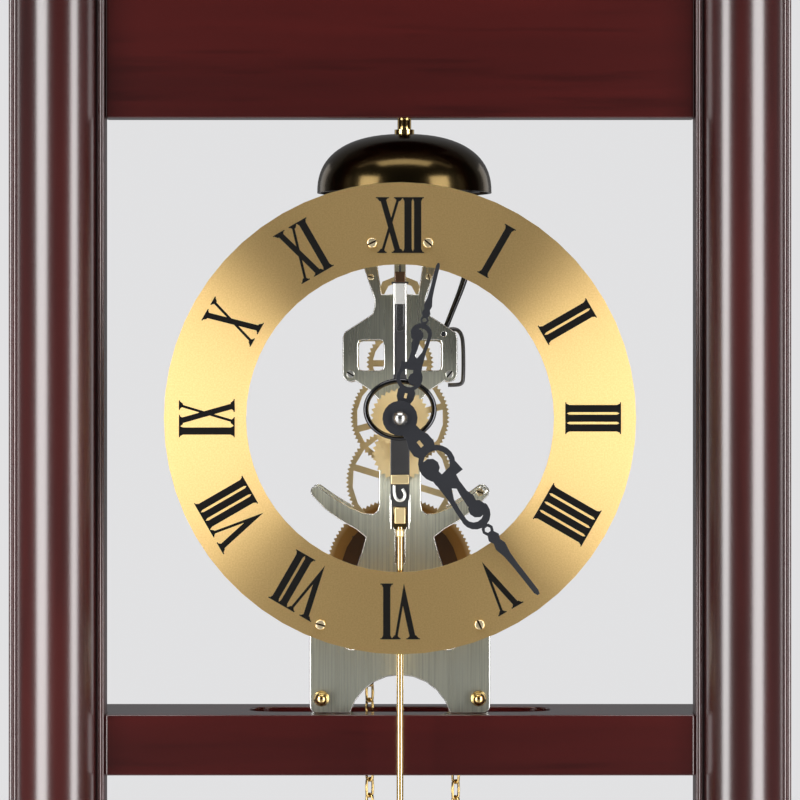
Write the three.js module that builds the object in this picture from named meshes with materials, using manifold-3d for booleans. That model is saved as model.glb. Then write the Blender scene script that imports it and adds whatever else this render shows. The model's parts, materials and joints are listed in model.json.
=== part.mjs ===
// Open-frame pendulum floor clock: skeleton movement, brass dial ring, bell, chain and weight.
// Millimetres, +Z up, the dial faces -Y, the origin lies on the floor under the middle of the clock.

import * as THREE from 'three';
import { mergeVertices } from 'three/addons/utils/BufferGeometryUtils.js';
import Module from 'manifold-3d';

const wasm = await Module();
wasm.setup();

// Clearances
const glueLine = 0.1;
const runningGap = 0.3;
const pivotGap = 0.2;

// Wooden frame
const handArborHeight = 1560;
const frameInnerWidth = 266.6;
const postWidth = 43.1;
const postDepth = 75;
const postEdgeRadius = 1.2;
const postFlange = 21;
const postRebate = 12;
const columnRadius = 17.7;
const railSetback = 1;
const seatRailThickness = 27.3;
const seatRailDrop = 133.9;
const chainSlotLength = 138;
const chainSlotWidth = 35;
const chainSlotCentreY = 2.5;
const topRailRise = 135.5;
const topRailHeight = 80;
const topRailThickness = 17;
const plinthWidth = 440;
const plinthDepth = 260;
const plinthHeight = 92;
const plinthChamfer = 4;
const baseMouldHeight = 30;
const deckInset = 20;
const deckThickness = 25;
const corniceHeight = 46;
const corniceFlare = 32;
const capThickness = 16;
const capOverhang = 8;

// Movement plates, measured from the hand arbor
const plateGap = 50;
const plateThickness = 2;
const plateFootHalfWidth = 40.8;
const plateArchRadius = 23.5;
const plateArchTop = 116.5;
const barHalfWidth = 9.5;
const shoulderHalfWidth = 26;
const hornReach = 83;
const pillarRadius = 4;
const lowerPillarX = 35.6;
const lowerPillarZ = -127;
const upperPillarRadius = 3;
const upperPillarX = 22.4;
const upperPillarZ = 19.8;
const acornNutRadius = 3.6;

// Wheel train, from the weight up to the escapement
const greatTeeth = 108;
const secondPinionTeeth = 27;
const secondTeeth = 75;
const centrePinionTeeth = 15;
const centreTeeth = 72;
const thirdPinionTeeth = 9;
const thirdTeeth = 45;
const escapePinionTeeth = 6;
const escapeTeeth = 30;
const greatToSecond = 42;
const secondToCentre = 29;
const centreToThird = 25;
const thirdToEscape = 17;
const escapeToAnchor = 18;
const escapeRadius = 12;
const wheelThickness = 2;
const pinionLength = 6;
const arborRadius = 1.8;
const fineArborRadius = 1.2;
const pivotRadius = 0.9;
const greatWheelY = 8;
const secondWheelY = -11;
const centreWheelY = -3;
const thirdWheelY = 10;
const escapeWheelY = -10;

// Motion work, hands and dial
const cannonTeeth = 10;
const minuteWheelTeeth = 30;
const minutePinionTeeth = 8;
const hourWheelTeeth = 32;
const motionDistance = 16.1;
const motionWheelThickness = 1.6;
const handShaftRadius = 1.5;
const cannonRadius = 3.2;
const hourPipeRadius = 4.9;
const dialOuterRadius = 105;
const dialInnerRadius = 68.5;
const dialThickness = 1.5;
const dialStandoff = 37;
const dialPostRadius = 2.5;
const upperDialPostX = 12.5;
const upperDialPostZ = 78;
const lowerDialPostX = 35.4;
const lowerDialPostZ = -91.8;
const hourHandLength = 71;
const minuteHandLength = 99.3;
const hourHandAngle = 14;
const minuteHandAngle = 141.8;
const handThickness = 0.9;
const handGap = 3;
const handBossRadius = 7.8;

// Pendulum
const pendulumStandoff = 29;
const pendulumLength = 994;
const leaderThickness = 1.2;
const leaderHalfWidth = 4.3;
const loopCentreZ = 3.9;
const loopHalfWidth = 16.2;
const loopHalfHeight = 13.7;
const loopBand = 2;
const leaderBottom = -49.6;
const rodRadius = 1.5;
const bobRadius = 70;
const bobThickness = 24;
const bobEdge = 4;
const ratingNutRadius = 8;
const ratingNutHeight = 9;
const rodTail = 22;

// Bell and hammer
const bellRadius = 40;
const bellHeight = 27;
const bellWall = 1.6;
const bellRimZ = 103;
const bellX = 2;
const bellPostRadius = 3.15;
const hammerArborX = 19.8;
const hammerArborZ = 38;
const hammerWireRadius = 1.15;
const hammerHeadRadius = 4;
const hammerHeadLength = 9;

// Chain, weight and pull ring
const chainLinkPitch = 7.3;
const sprocketLinks = 12;
const chainHalfWidth = 2.65;
const sprocketFlangeRadius = 27;
const weightStrandX = 25.5;
const guidePinZ = -118;
const guidePinRadius = 2.5;
const weightStrandDrop = 600;
const ringStrandDrop = 610;
const weightRadius = 24;
const weightLength = 215;
const weightCapHeight = 9;
const weightHookRadius = 1.6;
const pullRingRadius = 9;
const pullRingWire = 1.5;

// Places worked out from the sizes above
const plateFront = -plateGap / 2 - plateThickness;
const plateBack = -plateFront;
const greatZ = -greatToSecond - secondToCentre;
const secondZ = -secondToCentre;
const thirdZ = centreToThird;
const escapeZ = thirdZ + thirdToEscape;
const anchorZ = escapeZ + escapeToAnchor;
const dialFront = plateFront - dialStandoff;
const dialBack = dialFront + dialThickness;
const pendulumY = plateFront - pendulumStandoff;
const hourHandY = dialFront - handGap - handThickness;
const minuteHandY = hourHandY - handGap - handThickness;
const sprocketRadius = chainLinkPitch * sprocketLinks / (2 * Math.PI);
const frameOuterWidth = frameInnerWidth + 2 * postWidth;
const baseTop = plinthHeight + baseMouldHeight + deckThickness;
const seatRailTop = handArborHeight - seatRailDrop;
const topRailBottom = handArborHeight + topRailRise;
const postTop = topRailBottom + topRailHeight;

// Finishes
const mahogany = { color: 0x4a1512, roughness: 0.25, metalness: 0 };
const satinBrass = { color: 0xb99a55, roughness: 0.35, metalness: 1 };
const polishedBrass = { color: 0xc9a24a, roughness: 0.15, metalness: 1 };
const brushedNickel = { color: 0x9aa095, roughness: 0.4, metalness: 1 };
const polishedSteel = { color: 0xb8b8b4, roughness: 0.2, metalness: 1 };
const blackSteel = { color: 0x26282c, roughness: 0.4, metalness: 0.6 };
const bronzedSteel = { color: 0x3a342e, roughness: 0.4, metalness: 0.8 };

const clock = new THREE.Group();
const movement = new THREE.Group();
movement.position.z = handArborHeight;
clock.add(movement);

function addPiece(group, name, geometry, finish) {
  const mesh = new THREE.Mesh(geometry, new THREE.MeshStandardMaterial(finish));
  mesh.name = name;
  group.add(mesh);
  return mesh;
}

// A closed mesh with shared corners, no flat slivers and its faces pointing out
function closed(geometry) {
  const bare = geometry.clone();
  bare.deleteAttribute('normal');
  bare.deleteAttribute('uv');
  const merged = mergeVertices(bare, 1e-4);
  const corners = merged.index.array;
  const kept = [];
  let volume = 0;
  const [a, b, c] = [new THREE.Vector3(), new THREE.Vector3(), new THREE.Vector3()];
  for (let i = 0; i < corners.length; i += 3) {
    const [p, q, r] = [corners[i], corners[i + 1], corners[i + 2]];
    if (p === q || q === r || r === p) continue;
    kept.push(p, q, r);
    a.fromBufferAttribute(merged.attributes.position, p);
    b.fromBufferAttribute(merged.attributes.position, q);
    c.fromBufferAttribute(merged.attributes.position, r);
    volume += a.dot(b.cross(c));
  }
  merged.setIndex(volume < 0 ? kept.reverse() : kept);
  return merged;
}

function solidOf(geometry) {
  const mesh = closed(geometry);
  return new wasm.Manifold(new wasm.Mesh({
    numProp: 3,
    vertProperties: new Float32Array(mesh.attributes.position.array),
    triVerts: new Uint32Array(mesh.index.array),
  }));
}

function geometryOf(solid) {
  const mesh = solid.getMesh();
  const geometry = new THREE.BufferGeometry();
  geometry.setAttribute('position', new THREE.BufferAttribute(new Float32Array(mesh.vertProperties), 3));
  geometry.setIndex(Array.from(mesh.triVerts));
  return geometry;
}

function joined(...geometries) {
  const solids = geometries.map(solidOf);
  return geometryOf(solids.reduce((whole, next) => whole.add(next)));
}

function cutBy(geometry, ...tools) {
  const whole = solidOf(geometry);
  return geometryOf(tools.map(solidOf).reduce((rest, tool) => rest.subtract(tool), whole));
}

// A flat outline in X and Z, given a thickness from front to back
function flatPiece(shape, front, thickness, curveSegments = 6) {
  const geometry = new THREE.ExtrudeGeometry(shape, { depth: thickness, bevelEnabled: false, curveSegments });
  geometry.rotateX(Math.PI / 2);
  geometry.translate(0, front + thickness, 0);
  return closed(geometry);
}

// A flat outline in X and Y, given a height
function uprightPiece(shape, bottom, height, curveSegments = 4) {
  const geometry = new THREE.ExtrudeGeometry(shape, { depth: height, bevelEnabled: false, curveSegments });
  geometry.translate(0, 0, bottom);
  return closed(geometry);
}

// A round bar along Y
function barY(radius, front, back, x, z, sides = 12) {
  const geometry = new THREE.CylinderGeometry(radius, radius, back - front, sides);
  geometry.translate(x, (front + back) / 2, z);
  return closed(geometry);
}

// A turned piece about the vertical, from [radius, height] pairs
function turnedZ(profile, sides = 24) {
  const geometry = new THREE.LatheGeometry(profile.map(([r, h]) => new THREE.Vector2(r, h)), sides);
  geometry.rotateX(Math.PI / 2);
  return closed(geometry);
}

// A turned piece about an axis along Y, from [radius, y] pairs
function turnedY(profile, x, z, sides = 24) {
  const geometry = new THREE.LatheGeometry(profile.map(([r, y]) => new THREE.Vector2(r, y)), sides);
  geometry.translate(x, 0, z);
  return closed(geometry);
}

// A rectangular block whose four sides follow one profile of [outset, height] pairs
function mouldedBlock(width, depth, profile) {
  const positions = [];
  const index = [];
  for (const [outset, height] of profile) {
    const x = width / 2 + outset;
    const y = depth / 2 + outset;
    positions.push(-x, -y, height, x, -y, height, x, y, height, -x, y, height);
  }
  for (let ring = 0; ring < profile.length - 1; ring += 1) {
    for (let side = 0; side < 4; side += 1) {
      const low = ring * 4 + side;
      const lowNext = ring * 4 + (side + 1) % 4;
      index.push(low, lowNext, lowNext + 4, low, lowNext + 4, low + 4);
    }
  }
  const top = (profile.length - 1) * 4;
  index.push(0, 2, 1, 0, 3, 2);
  index.push(top, top + 1, top + 2, top, top + 2, top + 3);
  const geometry = new THREE.BufferGeometry();
  geometry.setAttribute('position', new THREE.Float32BufferAttribute(positions, 3));
  geometry.setIndex(index);
  return geometry;
}

function roundedRectangle(left, right, bottom, top, radius) {
  const shape = new THREE.Shape();
  shape.moveTo(left + radius, bottom);
  shape.lineTo(right - radius, bottom);
  shape.quadraticCurveTo(right, bottom, right, bottom + radius);
  shape.lineTo(right, top - radius);
  shape.quadraticCurveTo(right, top, right - radius, top);
  shape.lineTo(left + radius, top);
  shape.quadraticCurveTo(left, top, left, top - radius);
  shape.lineTo(left, bottom + radius);
  shape.quadraticCurveTo(left, bottom, left + radius, bottom);
  return shape;
}

function roundHole(x, y, radius) {
  const path = new THREE.Path();
  path.absarc(x, y, radius, 0, 2 * Math.PI, true);
  return path;
}

// Wooden base: plinth, moulding and deck
const deckWidth = plinthWidth - 2 * deckInset;
const deckDepth = plinthDepth - 2 * deckInset;
addPiece(clock, 'base_plinth', mouldedBlock(plinthWidth, plinthDepth, [
  [-plinthChamfer, 0],
  [0, plinthChamfer],
  [0, plinthHeight - plinthChamfer],
  [-plinthChamfer, plinthHeight],
]), mahogany);

const curveSteps = 8;
const ogee = [];
for (let step = 0; step <= curveSteps; step += 1) {
  const share = step / curveSteps;
  const swell = (1 + Math.cos(Math.PI * share)) / 2;
  const outset = (deckInset - 2 * plinthChamfer) * swell;
  ogee.push([outset, plinthHeight + glueLine + (baseMouldHeight - glueLine) * share]);
}
addPiece(clock, 'base_moulding', mouldedBlock(deckWidth, deckDepth, ogee), mahogany);

// A board whose edges are half-round
function roundedBoard(width, depth, bottom, thickness, bulge) {
  const profile = [];
  for (let step = 0; step <= curveSteps; step += 1) {
    const angle = Math.PI * step / curveSteps;
    profile.push([bulge * Math.sin(angle), bottom + thickness * (1 - Math.cos(angle)) / 2]);
  }
  return mouldedBlock(width, depth, profile);
}
const deckBottom = plinthHeight + baseMouldHeight;
const deckBulge = 6;
addPiece(clock, 'base_deck',
  roundedBoard(deckWidth, deckDepth, deckBottom + glueLine, deckThickness - glueLine, deckBulge), mahogany);

// Posts: a front flange, narrower behind, and a half-round column on the middle of the front face
const postFront = -postDepth / 2;
const postBack = postDepth / 2;
const flangeBack = postFront + postFlange;
function postOutline(side) {
  const half = postWidth / 2;
  const edge = postEdgeRadius;
  const shape = new THREE.Shape();
  shape.moveTo(side * (edge - half), postFront);
  shape.lineTo(side * (half - edge), postFront);
  shape.quadraticCurveTo(side * half, postFront, side * half, postFront + edge);
  shape.lineTo(side * half, postBack - edge);
  shape.quadraticCurveTo(side * half, postBack, side * (half - edge), postBack);
  shape.lineTo(side * (postRebate - half), postBack);
  shape.lineTo(side * (postRebate - half), flangeBack);
  shape.lineTo(side * -half, flangeBack);
  shape.lineTo(side * -half, postFront + edge);
  shape.quadraticCurveTo(side * -half, postFront, side * (edge - half), postFront);
  return shape;
}
for (const [sideName, side] of [['left', -1], ['right', 1]]) {
  const postX = side * (frameInnerWidth + postWidth) / 2;
  const post = uprightPiece(postOutline(side), baseTop + glueLine, postTop - baseTop - glueLine);
  post.translate(postX, 0, 0);
  addPiece(clock, `${sideName}_post`, post, mahogany);
  const halfRound = new THREE.Shape();
  halfRound.absarc(0, 0, columnRadius, Math.PI, 2 * Math.PI);
  halfRound.closePath();
  const column = uprightPiece(halfRound, baseTop + glueLine, postTop - baseTop - glueLine, 14);
  column.translate(postX, postFront - glueLine, 0);
  addPiece(clock, `${sideName}_column`, column, mahogany);
}

// Rails between the posts: the seat rail widens behind the flanges to fill their rebates
const railHalfLength = frameInnerWidth / 2 - glueLine;
const railEdge = 1.5;
const seatFront = postFront + railSetback;
const seatStep = flangeBack + glueLine;
const seatHalfLength = railHalfLength + postRebate;
const seatOutline = new THREE.Shape();
seatOutline.moveTo(railEdge - railHalfLength, seatFront);
seatOutline.lineTo(railHalfLength - railEdge, seatFront);
seatOutline.quadraticCurveTo(railHalfLength, seatFront, railHalfLength, seatFront + railEdge);
seatOutline.lineTo(railHalfLength, seatStep);
seatOutline.lineTo(seatHalfLength, seatStep);
seatOutline.lineTo(seatHalfLength, postBack);
seatOutline.lineTo(-seatHalfLength, postBack);
seatOutline.lineTo(-seatHalfLength, seatStep);
seatOutline.lineTo(-railHalfLength, seatStep);
seatOutline.lineTo(-railHalfLength, seatFront + railEdge);
seatOutline.quadraticCurveTo(-railHalfLength, seatFront, railEdge - railHalfLength, seatFront);
seatOutline.holes.push(roundedRectangle(
  -chainSlotLength / 2, chainSlotLength / 2,
  chainSlotCentreY - chainSlotWidth / 2, chainSlotCentreY + chainSlotWidth / 2,
  chainSlotWidth / 2 - railEdge));
addPiece(clock, 'seat_rail',
  uprightPiece(seatOutline, seatRailTop - seatRailThickness, seatRailThickness), mahogany);

const topRailOutline = roundedRectangle(-railHalfLength, railHalfLength,
  flangeBack - topRailThickness, flangeBack, railEdge);
addPiece(clock, 'top_rail', uprightPiece(topRailOutline, topRailBottom, topRailHeight), mahogany);

// Cornice and cap
const corniceDepth = postDepth + 2 * (columnRadius + glueLine);
const corniceFillet = 5;
const cove = [[0, postTop + glueLine], [0, postTop + corniceFillet]];
for (let step = 0; step <= curveSteps; step += 1) {
  const angle = Math.PI / 2 * step / curveSteps;
  const rise = (corniceHeight - 2 * corniceFillet) * Math.sin(angle);
  const reach = (corniceFlare - corniceFillet) * (1 - Math.cos(angle));
  cove.push([corniceFillet + reach, postTop + corniceFillet + rise]);
}
cove.push([corniceFlare, postTop + corniceHeight]);
addPiece(clock, 'cornice', mouldedBlock(frameOuterWidth, corniceDepth, cove), mahogany);
addPiece(clock, 'top_cap', roundedBoard(
  frameOuterWidth + 2 * corniceFlare, corniceDepth + 2 * corniceFlare,
  postTop + corniceHeight + glueLine, capThickness, capOverhang), mahogany);

// Movement plates: one half is drawn and mirrored, then the openings and pivot holes are cut
const footCorner = 3;
const footBlockTop = -87;
const armEnd = { x: 38.2, z: -33.2, radius: 2.4 };
const hornTopWidth = 8;
const hornWidth = 9;

function plateHalf() {
  const foot = -seatRailDrop + glueLine;
  const half = new THREE.Shape();
  half.moveTo(-1, foot);
  half.lineTo(plateFootHalfWidth - footCorner, foot);
  half.absarc(plateFootHalfWidth - footCorner, foot + footCorner, footCorner, -Math.PI / 2, 0);
  half.lineTo(plateFootHalfWidth, footBlockTop);
  half.quadraticCurveTo(27, footBlockTop + 1, 21, -71.5);
  half.quadraticCurveTo(17, -61, 15.5, -54);
  half.quadraticCurveTo(19, -50.5, 27.2, -46.3);
  half.quadraticCurveTo(34.5, -42, 40, -35);
  half.absarc(armEnd.x, armEnd.z, armEnd.radius, -0.8, 2.2);
  half.quadraticCurveTo(30, -36.5, 22.7, -40.4);
  half.quadraticCurveTo(15, -44.5, 12, -43.5);
  half.quadraticCurveTo(barHalfWidth, -42.5, barHalfWidth, -39);
  half.lineTo(barHalfWidth, 8);
  half.lineTo(13.6, 12.5);
  half.absarc(upperPillarX, upperPillarZ, shoulderHalfWidth - upperPillarX, -2.2, 0);
  half.lineTo(shoulderHalfWidth, 36);
  half.quadraticCurveTo(shoulderHalfWidth, 39.4, 22.5, 40.5);
  half.lineTo(12.5, 47);
  half.quadraticCurveTo(11, 50, 11.6, 54);
  half.lineTo(16.6, 68.8);
  half.lineTo(hornTopWidth + hornWidth, hornReach - hornWidth / 2);
  half.absarc(hornTopWidth + hornWidth / 2, hornReach - hornWidth / 2, hornWidth / 2, 0, Math.PI / 2);
  half.lineTo(-1, hornReach);
  half.closePath();
  return half;
}

function polygon(points) {
  return new THREE.Shape(points.map(([x, z]) => new THREE.Vector2(x, z)));
}

function plate(front, openings, holes) {
  const half = flatPiece(plateHalf(), front, plateThickness, 2);
  const mirrored = half.clone().scale(-1, 1, 1);
  const cuts = openings.map((shape) => flatPiece(shape, front - 1, plateThickness + 2, 2));
  const drills = holes.map(([x, z, radius]) => barY(radius, front - 1, front + plateThickness + 1, x, z, 8));
  const archZ = -plateArchTop - plateArchRadius;
  const arch = barY(plateArchRadius, front - 1, front + plateThickness + 1, 0, archZ, 24);
  return cutBy(joined(half, mirrored), arch, ...cuts, ...drills);
}

function circleShape(x, z, radius) {
  const shape = new THREE.Shape();
  shape.absarc(x, z, radius, 0, 2 * Math.PI);
  return shape;
}

const pivotHole = pivotRadius + pivotGap;
const windowCorner = 2;
const bridgeHalf = 6;
const slotHalf = 4.3;
const slotNeck = 2;
const plateOpenings = [
  roundedRectangle(-25.5, 25.5, -104.8, greatZ - 11, 3),
  roundedRectangle(-slotHalf, slotHalf, secondZ + bridgeHalf, -14, windowCorner),
  polygon([
    [-slotHalf, secondZ - bridgeHalf], [-slotHalf, -47], [-slotNeck, -51], [-slotNeck, greatZ + 5],
    [slotNeck, greatZ + 5], [slotNeck, -51], [slotHalf, -47], [slotHalf, secondZ - bridgeHalf],
  ]),
  roundedRectangle(7.3, 19, 21.5, 35.3, windowCorner),
  roundedRectangle(-19, -7.3, 21.5, 35.3, windowCorner),
];
const plateHoles = [
  [armEnd.x, armEnd.z, 1.1],
  [0, greatZ, pivotHole],
  [0, secondZ, pivotHole],
  [0, thirdZ, pivotHole],
  [0, escapeZ, pivotHole],
  [hammerArborX, hammerArborZ, pivotHole],
];
const hornGapFloor = 56;
const hornGapHalf = 8.2;
const hornGapSides = [
  [hornGapHalf, hornGapFloor], [10.2, 68.8], [hornTopWidth, hornReach + 1],
  [-hornTopWidth, hornReach + 1], [-10.2, 68.8], [-hornGapHalf, hornGapFloor],
];
const tongueHalf = 2.6;
const tongueTop = anchorZ + tongueHalf;
const frontGap = polygon(hornGapSides);
const backGap = polygon([
  ...hornGapSides, [-tongueHalf, hornGapFloor], [-tongueHalf, tongueTop],
  [tongueHalf, tongueTop], [tongueHalf, hornGapFloor],
]);
const frontHoles = [...plateHoles, [0, 0, handShaftRadius + pivotGap]];
const backHoles = [...plateHoles, [0, 0, pivotHole], [0, anchorZ, pivotHole]];
addPiece(movement, 'front_plate',
  plate(plateFront, [...plateOpenings, frontGap], frontHoles), brushedNickel);
addPiece(movement, 'back_plate',
  plate(plateBack - plateThickness, [...plateOpenings, backGap], backHoles), brushedNickel);

// Pillars between the plates and the domed nuts on the lower pair
const pillarFront = -plateGap / 2 + glueLine;
const sides = [['left', -1], ['right', 1]];
for (const [sideName, side] of sides) {
  addPiece(movement, `lower_pillar_${sideName}`,
    barY(pillarRadius, pillarFront, -pillarFront, side * lowerPillarX, lowerPillarZ), polishedBrass);
  addPiece(movement, `upper_pillar_${sideName}`,
    barY(upperPillarRadius, pillarFront, -pillarFront, side * upperPillarX, upperPillarZ), polishedBrass);
  const nutBack = plateFront - glueLine;
  addPiece(movement, `acorn_nut_${sideName}`, turnedY([
    [0, nutBack - 1.9 * acornNutRadius],
    [0.55 * acornNutRadius, nutBack - 1.7 * acornNutRadius],
    [0.85 * acornNutRadius, nutBack - 1.2 * acornNutRadius],
    [0.9 * acornNutRadius, nutBack - 0.7 * acornNutRadius],
    [acornNutRadius, nutBack - 0.6 * acornNutRadius],
    [acornNutRadius, nutBack],
    [0, nutBack],
  ], side * lowerPillarX, lowerPillarZ, 12), polishedBrass);
}

// Dial ring on four posts
const dialOutline = circleShape(0, 0, dialOuterRadius);
dialOutline.holes.push(roundHole(0, 0, dialInnerRadius));
addPiece(movement, 'dial_ring', flatPiece(dialOutline, dialFront, dialThickness, 30), satinBrass);
for (const [sideName, side] of sides) {
  const postFront = dialBack + glueLine;
  const postBack = plateFront - glueLine;
  addPiece(movement, `dial_post_upper_${sideName}`,
    barY(dialPostRadius, postFront, postBack, side * upperDialPostX, upperDialPostZ), polishedBrass);
  addPiece(movement, `dial_post_lower_${sideName}`,
    barY(dialPostRadius, postFront, postBack, side * lowerDialPostX, lowerDialPostZ), polishedBrass);
}

// Toothed outlines: pointed teeth, set close on a wheel and with broad gaps on a pinion
const wheelRoots = [0.5];
const pinionRoots = [-0.27, 0.27];
function toothedOutline(teeth, pitchRadius, module, firstTooth, roots = wheelRoots) {
  const rootRadius = pitchRadius - module;
  const tipRadius = pitchRadius + 0.8 * module;
  const pitchAngle = 2 * Math.PI / teeth;
  const points = [];
  const addPoint = (radius, place) => {
    const angle = firstTooth + place * pitchAngle;
    points.push([radius * Math.cos(angle), radius * Math.sin(angle)]);
  };
  for (let tooth = 0; tooth < teeth; tooth += 1) {
    roots.filter((root) => root < 0).forEach((root) => addPoint(rootRadius, tooth + root));
    addPoint(tipRadius, tooth);
    roots.filter((root) => root > 0).forEach((root) => addPoint(rootRadius, tooth + root));
  }
  return polygon(points);
}

// Openings between the spokes of a wheel
function spokeOpenings(count, hubRadius, rimRadius, spokeHalf, firstSpoke) {
  const openings = [];
  for (let gap = 0; gap < count; gap += 1) {
    const start = firstSpoke + gap * 2 * Math.PI / count;
    const end = start + 2 * Math.PI / count;
    const path = new THREE.Path();
    const hubAngle = spokeHalf / hubRadius;
    const rimAngle = spokeHalf / rimRadius;
    path.absarc(0, 0, rimRadius, start + rimAngle, end - rimAngle, false);
    path.absarc(0, 0, hubRadius, end - hubAngle, start + hubAngle, true);
    path.closePath();
    openings.push(path);
  }
  return openings;
}

function toothedPiece(outline, middleY, thickness, x, z) {
  const piece = flatPiece(outline, middleY - thickness / 2, thickness, 2);
  piece.translate(x, 0, z);
  return piece;
}

// A shouldered arbor whose pivots run in the two plates
function arbor(x, z, bodyRadius, front = plateFront, frontRadius = pivotRadius) {
  const shoulder = plateGap / 2 - runningGap;
  return turnedY([
    [0, front], [frontRadius, front], [frontRadius, -shoulder], [bodyRadius, -shoulder],
    [bodyRadius, shoulder], [pivotRadius, shoulder], [pivotRadius, plateBack], [0, plateBack],
  ], x, z, 8);
}

function moduleOf(distance, wheelTeeth, pinionTeeth) {
  return 2 * distance / (wheelTeeth + pinionTeeth);
}

const up = Math.PI / 2;
const down = -Math.PI / 2;
const rimShare = 2.2;
const hubRadius = 5;
const spokeHalf = 1.5;

// A wheel drives the pinion above it: a wheel tooth and a pinion gap lie on the line between them
function trainWheel(teeth, module, z, middleY, spokes, firstSpoke) {
  const pitchRadius = module * teeth / 2;
  const outline = toothedOutline(teeth, pitchRadius, module, up);
  const rimRadius = pitchRadius - rimShare * module - 1;
  outline.holes.push(...spokeOpenings(spokes, hubRadius, rimRadius, spokeHalf, firstSpoke));
  return toothedPiece(outline, middleY, wheelThickness, 0, z);
}

function pinion(teeth, module, z, middleY) {
  const outline = toothedOutline(teeth, module * teeth / 2, module, down + Math.PI / teeth, pinionRoots);
  return toothedPiece(outline, middleY, pinionLength, 0, z);
}

const greatModule = moduleOf(greatToSecond, greatTeeth, secondPinionTeeth);
const secondModule = moduleOf(secondToCentre, secondTeeth, centrePinionTeeth);
const centreModule = moduleOf(centreToThird, centreTeeth, thirdPinionTeeth);
const thirdModule = moduleOf(thirdToEscape, thirdTeeth, escapePinionTeeth);
const secondSpokes = THREE.MathUtils.degToRad(-17);
const centreSpokes = THREE.MathUtils.degToRad(15);

const greatOutline = toothedOutline(greatTeeth, greatModule * greatTeeth / 2, greatModule, up);
addPiece(movement, 'great_wheel',
  joined(
    arbor(0, greatZ, arborRadius),
    toothedPiece(greatOutline, greatWheelY, wheelThickness, 0, greatZ)), satinBrass);
addPiece(movement, 'second_wheel', joined(
  arbor(0, secondZ, arborRadius),
  trainWheel(secondTeeth, secondModule, secondZ, secondWheelY, 4, secondSpokes),
  pinion(secondPinionTeeth, greatModule, secondZ, greatWheelY)), satinBrass);
const handShaftFront = minuteHandY + handThickness + glueLine;
addPiece(movement, 'centre_wheel', joined(
  arbor(0, 0, arborRadius, handShaftFront, handShaftRadius),
  trainWheel(centreTeeth, centreModule, 0, centreWheelY, 4, centreSpokes),
  pinion(centrePinionTeeth, secondModule, 0, secondWheelY)), satinBrass);
addPiece(movement, 'third_wheel', joined(
  arbor(0, thirdZ, fineArborRadius),
  trainWheel(thirdTeeth, thirdModule, thirdZ, thirdWheelY, 4, 0),
  pinion(thirdPinionTeeth, centreModule, thirdZ, centreWheelY)), satinBrass);

// Escape wheel with pointed teeth that lean the way it turns
const escapeRoot = escapeRadius - 2.6;
const escapeOutlinePoints = [];
for (let tooth = 0; tooth < escapeTeeth; tooth += 1) {
  const pitchAngle = 2 * Math.PI / escapeTeeth;
  const start = tooth * pitchAngle;
  for (const [radius, share] of [[escapeRoot, 0], [escapeRadius, 0.15], [escapeRoot, 0.7]]) {
    const angle = start + share * pitchAngle;
    escapeOutlinePoints.push([radius * Math.cos(angle), radius * Math.sin(angle)]);
  }
}
const escapeOutline = polygon(escapeOutlinePoints);
escapeOutline.holes.push(...spokeOpenings(4, 3.4, escapeRoot - 1.6, 0.9, 0));
addPiece(movement, 'escape_wheel', joined(
  arbor(0, escapeZ, fineArborRadius),
  toothedPiece(escapeOutline, escapeWheelY, wheelThickness, 0, escapeZ),
  pinion(escapePinionTeeth, thirdModule, escapeZ, thirdWheelY)), satinBrass);

// Anchor over the escape wheel, and the crutch that its arbor carries in front of the plates
const palletGap = 0.8;
const palletReach = (escapeRadius + palletGap) * Math.SQRT1_2;
const palletDrop = escapeToAnchor - palletReach;
const anchorBoss = 3;
const anchorCrown = 5.4;
const archTop = 2.2;
const legWidth = 2.8;
const anchorOutline = new THREE.Shape();
anchorOutline.moveTo(palletReach + legWidth, 1.4 - palletDrop);
anchorOutline.quadraticCurveTo(palletReach + 1, anchorCrown, 0, anchorCrown);
anchorOutline.quadraticCurveTo(-palletReach - 1, anchorCrown, -palletReach - legWidth, 1.4 - palletDrop);
anchorOutline.lineTo(-palletReach - 0.5, -palletDrop);
anchorOutline.lineTo(0.6 - palletReach, 3 - palletDrop);
anchorOutline.quadraticCurveTo(legWidth - palletReach, archTop, 0, archTop);
anchorOutline.quadraticCurveTo(palletReach - legWidth, archTop, palletReach - 0.6, 3 - palletDrop);
anchorOutline.lineTo(palletReach + 0.5, -palletDrop);
anchorOutline.closePath();
const crutchThickness = 1.2;
const crutchFront = pendulumY + 4;
const crutchHalf = 2.4;
const crutchLength = 22;
const crutchPinRadius = 1.2;
addPiece(movement, 'anchor', joined(
  arbor(0, anchorZ, fineArborRadius, crutchFront),
  barY(anchorBoss, escapeWheelY - wheelThickness / 2, escapeWheelY + wheelThickness / 2, 0, anchorZ, 16),
  toothedPiece(anchorOutline, escapeWheelY, wheelThickness, 0, anchorZ)), satinBrass);
const crutchOutline = roundedRectangle(
  -crutchHalf, crutchHalf, anchorZ - crutchLength, anchorZ + crutchHalf, 1);
crutchOutline.holes.push(roundHole(0, anchorZ, pivotRadius + glueLine));
addPiece(movement, 'crutch', joined(
  flatPiece(crutchOutline, crutchFront, crutchThickness, 4),
  barY(crutchPinRadius, pendulumY - 2, crutchFront + crutchThickness / 2,
    0, anchorZ - crutchLength + crutchHalf, 8),
), polishedSteel);

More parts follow.
